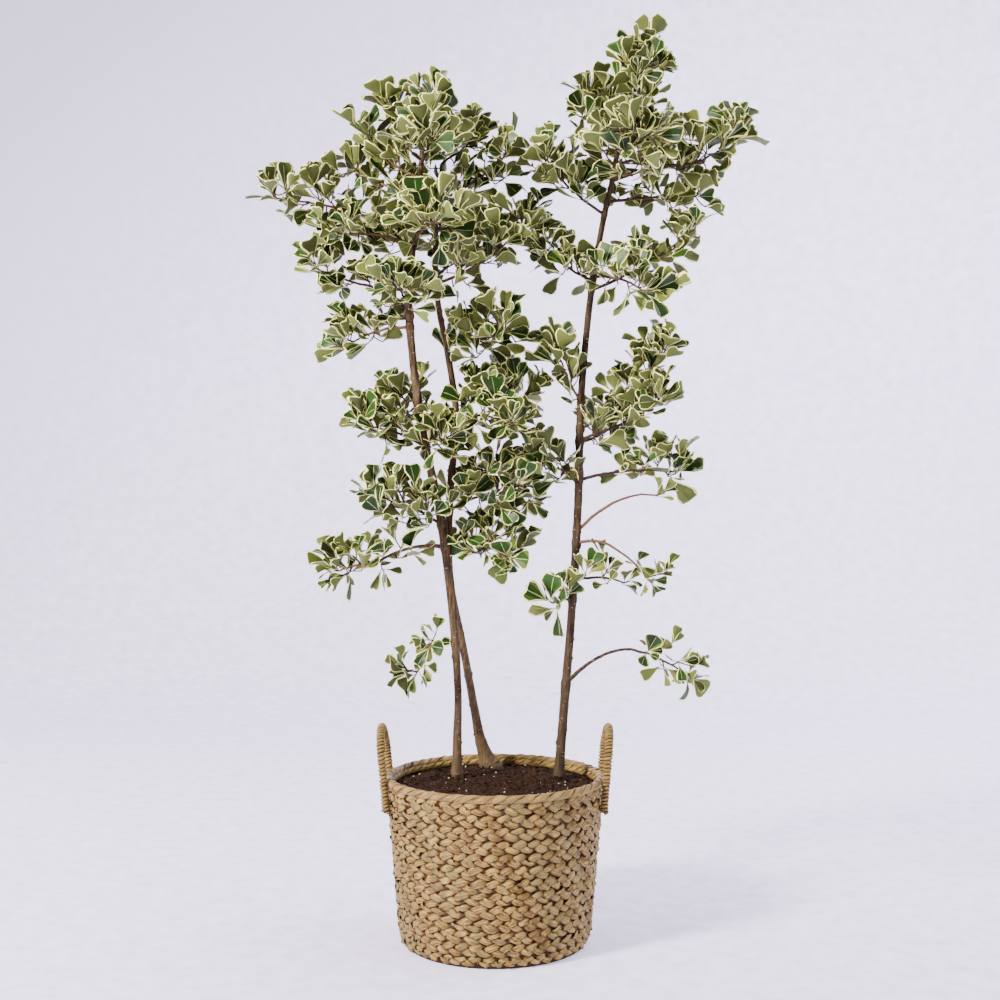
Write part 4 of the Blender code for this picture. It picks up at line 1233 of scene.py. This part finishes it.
class FIG_OT_basket(Operator):
    """Plaits the basket's rows round a thin dark shell of painted shade, with a twisted rim"""
    bl_idname = "fig.basket"
    bl_label = "Basket"

    def execute(self, context):
        look = context.scene.fig_basket
        straw = straw_material("seagrass_plait", look.pale, look.ochre, 0.93)
        shade_shell = blotched_material("basket_shade_shell", *SHADE_SHELL_TONES, 60.0, 0.9, 0.5 * MM)
        pitch = ROW_TOP / look.rows
        rise = pitch / 2 + 2.0 * MM - look.strand * 0.9
        half = look.rows // 2
        for name, rows in (("plait_lower_rows", range(half)), ("plait_upper_rows", range(half, look.rows))):
            bm = strand_mesh()
            for k in rows:
                height = (k + 0.5) * pitch
                lift, tuck, flat = (2.6 * MM, FOOT_TUCK, 0.72) if k == 0 else (0.0, 0.0, 1.0)
                plait_row(bm, k, height + lift, wall_radius(height) - 4.3 * MM - tuck, rise * flat,
                          look.strand * (0.8 + 0.2 * flat))
            sealed(bm)
            finish_piece(object_of(bm, name, [straw]), "seagrass", "basket")
        bm = strand_mesh()
        loose_ends(bm, look.ends)
        sealed(bm)
        finish_piece(object_of(bm, "plait_loose_ends", [straw]), "seagrass")
        bm = strand_mesh()
        for inward, down, wide, tall, turns, strands, half_width, seed in RIM_RINGS:
            twisted_ring(bm, RIM_RADIUS - inward * MM, BASKET_HEIGHT - down * MM, wide * MM, tall * MM,
                         turns, strands, half_width * MM, seed)
        sealed(bm)
        edging = straw_material("seagrass_rim", look.pale, [c * 1.2 + 0.012 for c in look.ochre], 0.93)
        finish_piece(object_of(bm, "plait_rim", [edging]), "seagrass")
        # A thin dark shell of painted shade inside the plait, seen through its gaps and on the inner wall
        # above the soil
        top = BASKET_HEIGHT - 9 * MM
        mid = 4.6 * MM
        profile = [
            (0.0, FLOOR), (wall_radius(FLOOR) - WALL, FLOOR),
            (wall_radius(SOIL_TOP) - WALL, SOIL_TOP - 8 * MM),
            (wall_radius(top) - mid - 1.2 * MM, SOIL_TOP - 4 * MM), (wall_radius(top) - mid - 1.2 * MM, top),
            (wall_radius(top) - mid, top), (wall_radius(10 * MM) - mid - 2 * MM, 10 * MM),
            (BASE_RADIUS - 10 * MM, 0.6 * MM), (0.0, 0.6 * MM),
        ]
        finish_piece(object_of(turned(profile, 128), "basket_shade_shell", [shade_shell]), "seagrass")
        return {"FINISHED"}


class FIG_OT_handles(Operator):
    """Winds the two rope handles"""
    bl_idname = "fig.handles"
    bl_label = "Handles"

    def execute(self, context):
        look = context.scene.fig_basket
        straw = straw_material("handle_cord", look.pale, look.ochre, 0.95)
        # The core is partly painted shade: its dark brown shows in the gaps between the turns of cord
        core = blotched_material("handle_core", *CORE_SHADE_TONES, 90.0, 0.9, 0.4 * MM)
        for side, name in ((-1, "handle_left"), (1, "handle_right")):
            path = handle_path(side)
            bm = strand_mesh()
            wrapped_handle(bm, path, look.wrap, 3 + side)
            sealed(bm)
            finish_piece(object_of(bm, name + "_wrap", [straw]), "seagrass", name)
            spine, _ = even_path(path, 5 * MM)
            bm = bmesh.new()
            rolled_grid(bm, spine[:, None] + spokes(spine, CORE_SIDES) * CORE_RADIUS)
            sealed(bm)
            finish_piece(object_of(bm, name + "_core", [core]), "seagrass")
        return {"FINISHED"}


class FIG_OT_soil(Operator):
    """Fills the basket with crumbly soil, white grains and chips"""
    bl_idname = "fig.soil"
    bl_label = "Soil"

    def execute(self, context):
        look = context.scene.fig_soil
        earth = blotched_material("potting_mix", look.dark, look.light, 130.0, 0.95, 1.2 * MM, 0.25)
        edge = wall_radius(SOIL_TOP) - WALL + 2.0 * MM
        rings, sides = 110, 300
        radii = np.concatenate([
            np.linspace(0.2 * MM, edge, rings), [edge, wall_radius(FLOOR) - WALL - 1 * MM, 0.2 * MM],
        ])
        points = np.zeros((len(radii), sides, 3))
        for i, radius in enumerate(radii):
            for j in range(sides):
                turn = 2 * math.pi * j / sides
                x, y = radius * math.cos(turn), radius * math.sin(turn)
                points[i, j] = (x, y, self.level(x, y, radius / edge) if i < rings else 0.0)
        points[rings:, :, 2] = np.array([SOIL_TOP - 20 * MM, FLOOR + 1 * MM, FLOOR + 1 * MM])[:, None]
        bm = bmesh.new()
        rolled_grid(bm, points)
        sealed(bm)
        finish_piece(object_of(bm, "soil_surface", [earth]), "soil", "soil")
        self.scatter("soil_white_grains", look.grains, (1.3, 3.6), 17,
                     blotched_material("perlite", *PERLITE_TONES, 300.0, 0.85, 0.3 * MM), 1.0)
        self.scatter("soil_crumbs", 760, (1.2, 4.2), 23,
                     blotched_material("soil_crumb", look.dark, look.light, 220.0, 0.95, 0.8 * MM), 0.8, 0.2)
        self.scatter("soil_clods", 250, (5.0, 12.0), 29, earth, 0.62, 0.2)
        self.scatter("soil_chips", 120, (2.0, 5.5), 31,
                     blotched_material("wood_chip", *CHIP_TONES, 160.0, 0.85, 0.4 * MM), 0.32)
        return {"FINISHED"}

    def level(self, x, y, share):
        """The soil's height: low clumps, crumbs and a slight mound round each stem."""
        clump = noise.noise((x * 30, y * 30, 0.4)) * 5.0 + abs(noise.noise((x * 75, y * 75, 2.0))) * 8.0
        crumb = noise.noise((x * 220, y * 220, 5.0)) * 2.2
        mound = 0.0
        for stations, _ in STEMS.values():
            gap = math.hypot(x - stations[0][1] * MM, y - stations[0][2] * MM)
            mound += 8.0 * math.exp(-(gap / (24 * MM)) ** 2)
        dip = -3.5 * max(share - 0.86, 0.0) / 0.14
        return SOIL_TOP + (clump + crumb + min(mound, 8.0) + dip - 3.4) * MM

    def scatter(self, name, count, sizes, seed, mat, flatness, heaped=0.0):
        """Small irregular lumps that lie on the soil."""
        rng = random.Random(seed)
        limit = wall_radius(SOIL_TOP) - WALL - 4 * MM
        bm = bmesh.new()
        for _ in range(count):
            radius, turn = limit * math.sqrt(rng.random()), rng.uniform(0, 2 * math.pi)
            x, y = radius * math.cos(turn), radius * math.sin(turn)
            if rng.random() < heaped:
                foot = rng.choice(list(STEMS.values()))[0][0]
                away = rng.uniform(0.9, 2.1) * foot[3] * MM
                x, y = foot[1] * MM + away * math.cos(turn), foot[2] * MM + away * math.sin(turn)
                radius = math.hypot(x, y)
            size = rng.uniform(*sizes) / 2 * rng.uniform(0.6, 1.0) * MM
            lump = bmesh.ops.create_icosphere(bm, subdivisions=1, radius=size)["verts"]
            for v in lump:
                v.co *= 1 + 0.45 * noise.noise(v.co / size * 1.3 + Vector((x, y, 0)) * 900)
            stretch = (rng.uniform(0.8, 1.6), rng.uniform(0.7, 1.1), max(flatness, 0.3))
            bmesh.ops.scale(bm, vec=stretch, verts=lump)
            spin = Matrix.Rotation(rng.uniform(0, 6.3), 3, "Z")
            spin = spin @ Matrix.Rotation(rng.uniform(-0.5, 0.5), 3, "X")
            bmesh.ops.rotate(bm, cent=(0, 0, 0), matrix=spin, verts=lump)
            height = self.level(x, y, radius / (limit + 4 * MM)) + size * flatness * 0.35
            bmesh.ops.translate(bm, vec=(x, y, height), verts=lump)
        bmesh.ops.recalc_face_normals(bm, faces=bm.faces[:])
        finish_piece(object_of(bm, name, [mat]), "soil")


class FIG_OT_stems(Operator):
    """Models the bark of the stems and boughs"""
    bl_idname = "fig.stems"
    bl_label = "Stems and boughs"

    def execute(self, context):
        look = context.scene.fig_bark
        barks = {
            name: bark_material("fig_bark_" + name.split("_")[1], *(
                [c * BARK_TONE[name] for c in colour] for colour in (look.deep, look.pale, look.foot)
            )) for name in STEMS
        }
        for number, (name, (stations, flare)) in enumerate(STEMS.items()):
            path, radii = stem_path(stations)
            knots = [row[1] * MM for row in (*BOUGHS.values(), *MASSES.values()) if row[0] == name and row[1]]
            folds = foot_folds(flare, path[0].z)
            path.insert(0, path[0] - UP * 6 * MM)
            radii.insert(0, radii[0])
            bm = bmesh.new()
            barked(bm, path, radii, 26, knots, 11 + number * 7, folds)
            sealed(bm)
            finish_piece(object_of(bm, name + "_bark", [barks[name]]), "bark", name)
        for number, (name, row) in enumerate(BOUGHS.items()):
            origin, height, bearing, reach, rise, arch, first, last = row
            limb = stem_path(STEMS[origin][0])[0]
            path = limb_path(limb, height, bearing, reach, rise, arch, BOUGH_POINTS)
            path = crooked(random.Random(number + 5), path, BOUGH_POINTS, 0.25 * MM)
            radii = []
            for k in range(BOUGH_POINTS):
                stouter = 1.75 - 0.5 * min(k / 16, 1)
                radii.append((first + (last - first) * k / (BOUGH_POINTS - 1)) * stouter * MM)
            bm = bmesh.new()
            barked(bm, path, radii, 14, (), 51 + number * 7)
            sealed(bm)
            finish_piece(object_of(bm, name + "_bark", [barks[origin]]), "bark", name)
        return {"FINISHED"}


class FIG_OT_foliage(Operator):
    """Grows the twigs and the variegated leaves of every mass"""
    bl_idname = "fig.foliage"
    bl_label = "Foliage"

    def execute(self, context):
        look = context.scene.fig_leaf
        limbs = {name: stem_path(stations)[0] for name, (stations, _) in STEMS.items()}
        for name, (origin, height, bearing, reach, rise, arch, _, _) in BOUGHS.items():
            limbs[name] = limb_path(limbs[origin], height, bearing, reach, rise, arch, BOUGH_POINTS)
        crown = Crown(look.length, look.fullness)
        stems, fills = {}, {}
        for name, row in MASSES.items():
            origin, height, bearing, reach, rise, arch, bare, wide, tall, up = row[:10]
            path = limb_path(limbs[origin], height, bearing, reach, rise, arch, 7)
            swing, lift = HABIT.get(name, (0, 0, 0, 0))[2:]
            path = [place + Vector((swing, 0, lift)) * MM * k / 6 for k, place in enumerate(path)]
            path.append(path[-1] + turned_up((path[-1] - path[-2]).normalized(), up) * 8 * MM)
            stems[name] = path
            fills[name] = path
            if height is None and origin in LEAFY_LIMBS:
                fills[name] = limbs[origin][-LEAFY_LIMBS[origin]::4] + path
                bare = 0.0
            leafy = [along_path(fills[name], bare + (1 - bare) * k / 4)[0] for k in range(5)]
            crown.spaces.add(name, leafy, (wide + tall) / 2 * MM)
        heaps = {stem: Heap() for stem in STEMS}
        for name, row in MASSES.items():
            self.grow(crown, name, row, stems[name], fills[name], heaps[stem_of(row)], limbs[row[0]])
        twig_looks = [
            living_material("twig_dark", DARK_TWIG, 0.6, 300.0, 0.3 * MM),
            living_material("twig_brown", BROWN_TWIG, 0.6, 300.0, 0.3 * MM),
            living_material("leaf_stalk", LEAF_STALK, 0.5, 400.0, 0.1 * MM),
        ]
        leaf_looks = self.leaf_looks(look)
        for stem, heap in heaps.items():
            side = stem.split("_")[1]
            masses = [name for name, row in MASSES.items() if stem_of(row) == stem]
            finish_piece(heap.build("twigs_" + side, twig_looks), "bark")
            blades = Heap()
            for name in masses:
                for leaf in crown.leaves[name]:
                    blades.add(*leaf_arrays(leaf))
            finish_piece(blades.build("leaf_sprays_" + side, leaf_looks), "leaves", *masses)
        return {"FINISHED"}

    def leaf_looks(self, look):
        """Plain colours: three darks, three sages, two creams, three undersides and the midrib."""
        looks = []
        for k, share in enumerate((0.7, 1.1, 1.9)):
            tint = [c * share for c in look.dark]
            looks.append(living_material(f"leaf_dark_{k}", tint, 0.34, 180.0, 0.25 * MM))
        for k, (share, yellow) in enumerate(((0.6, 0.92), (1.0, 1.0), (1.55, 1.12))):
            tint = (look.sage[0] * share * yellow, look.sage[1] * share, look.sage[2] * share)
            looks.append(living_material(f"leaf_sage_{k}", tint, 0.38, 180.0, 0.25 * MM))
        for k, tint in enumerate(((1.0, 1.0, 1.0), (0.94, 1.0, 1.12))):
            cream = [c * t for c, t in zip(look.cream, tint)]
            looks.append(living_material(f"leaf_cream_{k}", cream, 0.42, 180.0, 0.2 * MM))
        for k, share in enumerate((0.7, 1.05, 1.4)):
            under = (look.sage[0] * share * 1.12, look.sage[1] * share, look.sage[2] * share * 1.2)
            looks.append(living_material(f"leaf_under_{k}", under, 0.6, 140.0, 0.3 * MM))
        looks.append(living_material("leaf_rib", LEAF_RIB, 0.45, 180.0, 0.1 * MM))
        return looks

    def grow(self, crown, name, row, path, filled, heap, limb):
        """One mass: its stem, its twigs, their side shoots and the leaves on all of them."""
        _, height, _, reach, _, _, bare, wide, tall, up, twigs, seed = row
        crown.leaves[name] = []
        crown.nodes[name] = [place for place in limb if 8 * MM < (place - path[0]).length < 70 * MM][::4]
        crown.nodes[name] += filled[:-len(path)]
        first = (2.7 if height is None else 2.6 + reach / 200) * MM
        rng = random.Random(seed * 100 + 99)
        stem = crooked(rng, path, 14, 1.4 * MM)
        radii = [first + (1.35 * MM - first) * k / 13 for k in range(14)]
        heap.tube(stem, radii, 7, 1 if rng.random() < 0.35 else 0)
        crown.nodes[name] += stem[1:-1]
        crown.rosette(name, heap, rng, path, 5, 1.0, spray_slots(rng))
        full, further = HABIT.get(name, (1.0, 1.0))[:2]
        for k in range(twigs):
            rng = random.Random(seed * 100 + k)
            if rng.random() > full + 0.25:
                continue
            way = twig_path(rng, path, bare, wide * MM, tall * MM, up, k, twigs)
            if not crown.spaces.holds(name, way[-1]):
                continue
            slots, shade = spray_slots(rng), rng.random() < 0.4
            curve = crown.twig(name, heap, rng, way, 1.9 * MM, 4 + k % 2, 1.0, slots, shade)
            if full >= 0.7:
                self.side_shoot(crown, name, heap, rng, curve, 0.45, k, slots, shade)
            if k % 2:
                self.side_shoot(crown, name, heap, rng, curve, 0.7, k + 3, slots, shade)
        self.fill(crown, name, heap, random.Random(seed * 100 + 60), filled, row, full, further)

    def side_shoot(self, crown, name, heap, rng, path, share, turn, slots, shade):
        """A short fine shoot from a twig, with two or three leaves."""
        root, direction = along_path(path, share)
        side = direction.orthogonal().normalized()
        out = Matrix.Rotation(GOLDEN * turn + rng.uniform(-0.5, 0.5), 3, direction) @ side
        away = (out * 0.9 + direction * 0.5 + UP * 0.45).normalized()
        tip = root + away * SIDE_SHOOT * rng.uniform(0.5, 1.15)
        if crown.spaces.holds(name, tip):
            way = [root, tip, tip + turned_up(away, 0.5) * 6 * MM]
            crown.twig(name, heap, rng, way, 1.25 * MM, 3, 0.9, slots, shade)

    def fill(self, crown, name, heap, rng, path, row, full, further):
        """Finer twigs carried on into the gaps of a mass, each from the nearest wood that is there."""
        wide, tall, up, twigs = row[7] * MM * further, row[8] * MM * further, row[9], row[10]
        for _ in range(round(twigs * FILL_TRIES * crown.fullness * full ** 2)):
            share = rng.uniform(0.1, 1.04)
            root, direction = along_path(path, min(share, 1.0))
            side = direction.cross(UP).normalized()
            lift = side.cross(direction)
            turn, reach = rng.uniform(0, 2 * math.pi), math.sqrt(rng.random()) * min(0.45 + share, 0.96)
            over = math.sin(turn) * tall * reach
            tip = root + side * math.cos(turn) * wide * reach + lift * (over if over > 0 else over * 0.7)
            if not crown.spaces.holds(name, tip):
                continue
            if any((tip - other).length < ROSETTE_GAP for other in crown.tips):
                continue
            start = min(
                crown.nodes[name],
                key=lambda place: (place - tip).length + 0.4 * abs(place.z - tip.z),
            )
            gap = tip - start
            if not 10 * MM < gap.length < 125 * MM:
                continue
            away = gap.normalized()
            bow = away.orthogonal().normalized() * rng.uniform(-0.1, 0.1) - UP * rng.uniform(0.02, 0.14)
            way = [start, start + gap * 0.5 + bow * gap.length, tip - turned_up(away, up) * 5 * MM, tip]
            slots, shade = spray_slots(rng), rng.random() < 0.3
            first, count = 1.3 * MM + 8 * gap.length * MM, 3 + (rng.random() < 0.5)
            curve = crown.twig(name, heap, rng, way, first, count, 0.95, slots, shade)
            if gap.length > 50 * MM:
                self.side_shoot(crown, name, heap, rng, curve, rng.uniform(0.4, 0.7), 1, slots, shade)


class FIG_OT_stage(Operator):
    """Adds the camera, the soft lights and the pale backdrop"""
    bl_idname = "fig.stage"
    bl_label = "Stage"

    def execute(self, context):
        look = context.scene.fig_stage
        bm = bmesh.new()
        bmesh.ops.create_grid(bm, x_segments=1, y_segments=48, size=1)
        front, turn_at, radius, top = -4.0, 2.4, 1.4, 5.0
        lengths = (turn_at - front, radius * math.pi / 2, top - radius)
        total = sum(lengths)
        for v in bm.verts:
            at = (v.co.y + 1) / 2 * total
            bow = min(max(at - lengths[0], 0) / radius, math.pi / 2)
            y = front + min(at, lengths[0]) + radius * math.sin(bow)
            z = radius * (1 - math.cos(bow)) + max(at - lengths[0] - lengths[1], 0)
            v.co = (v.co.x * 7.0, y, z)
        bmesh.ops.recalc_face_normals(bm, faces=bm.faces[:])
        mat = blotched_material("backdrop", look.backdrop, look.backdrop, 3.0, 0.9, 0.1 * MM)
        shader = mat.node_tree.nodes["Principled BSDF"]
        place = add(mat.node_tree, "ShaderNodeSeparateXYZ", {0: object_place(mat.node_tree)}).outputs
        # Painted shade: the backdrop's colour, and its glow, darken toward its top left
        corner = ranged(mat.node_tree, maths(mat.node_tree, "SUBTRACT", place[2], place[0]), 2.2, 4.8)
        plain = shader.inputs["Base Color"].links[0].from_socket
        shaded = mixed(mat.node_tree, corner, plain, rgba(look.backdrop, 0.7))
        for slot in ("Base Color", "Emission Color"):
            mat.node_tree.links.new(shaded, shader.inputs[slot])
        # Painted light: the backdrop glows in its own colour, which brightens it and lights the plant evenly
        # from all round
        shader.inputs["Emission Strength"].default_value = look.glow
        object_of(bm, "backdrop", [mat])
        for name, values in LAMPS.items():
            self.lamp(name, *values)
        world = bpy.data.worlds.new("studio")
        world.use_nodes = True
        world.node_tree.nodes["Background"].inputs[0].default_value = (0.90, 0.89, 0.95, 1.0)
        world.node_tree.nodes["Background"].inputs[1].default_value = 0.22
        context.scene.world = world
        camera = bpy.data.cameras.new("camera")
        camera.sensor_width = SENSOR
        camera.lens = FOCAL_SHARE * SENSOR
        ob = bpy.data.objects.new("camera", camera)
        ob.location = (9 * MM, -2.5, 0.80)
        ob.rotation_euler = (math.pi / 2, 0.0, 0.0)
        context.scene.collection.objects.link(ob)
        context.scene.camera = ob
        return {"FINISHED"}

    def lamp(self, name, place, toward, size, power, colour):
        light = bpy.data.lights.new(name, "AREA")
        light.shape = "DISK"
        light.size = size
        light.energy = power
        light.color = colour
        ob = bpy.data.objects.new(name, light)
        ob.location = place
        ob.rotation_euler = (Vector(toward) - Vector(place)).to_track_quat("-Z", "Y").to_euler()
        bpy.context.scene.collection.objects.link(ob)


class FIG_PT_panel(Panel):
    """Lists the settings and the operators of the fig"""
    bl_idname = "FIG_PT_panel"
    bl_label = "Potted fig"
    bl_space_type = "VIEW_3D"
    bl_region_type = "UI"
    bl_category = "Fig"

    def draw(self, context):
        layout = self.layout
        for settings, operators in GROUPS:
            block = getattr(context.scene, settings)
            box = layout.box()
            for name in block.__annotations__:
                box.prop(block, name)
            for operator in operators:
                box.operator(operator)


GROUPS = (
    ("fig_basket", ("fig.basket", "fig.handles")),
    ("fig_soil", ("fig.soil",)),
    ("fig_bark", ("fig.stems",)),
    ("fig_leaf", ("fig.foliage",)),
    ("fig_stage", ("fig.stage",)),
)
SETTINGS = {
    "fig_basket": FigBasketSettings,
    "fig_soil": FigSoilSettings,
    "fig_bark": FigBarkSettings,
    "fig_leaf": FigLeafSettings,
    "fig_stage": FigStageSettings,
}
CLASSES = (
    *SETTINGS.values(), FIG_OT_basket, FIG_OT_handles, FIG_OT_soil, FIG_OT_stems, FIG_OT_foliage,
    FIG_OT_stage, FIG_PT_panel,
)


def register():
    for cls in CLASSES:
        bpy.utils.register_class(cls)
    for name, cls in SETTINGS.items():
        setattr(bpy.types.Scene, name, PointerProperty(type=cls))


def unregister():
    for name in SETTINGS:
        delattr(bpy.types.Scene, name)
    for cls in reversed(CLASSES):
        bpy.utils.unregister_class(cls)


def main():
    register()
    bpy.ops.fig.stage()
    bpy.ops.fig.basket()
    bpy.ops.fig.handles()
    bpy.ops.fig.soil()
    bpy.ops.fig.stems()
    bpy.ops.fig.foliage()


if __name__ == "__main__":
    main()
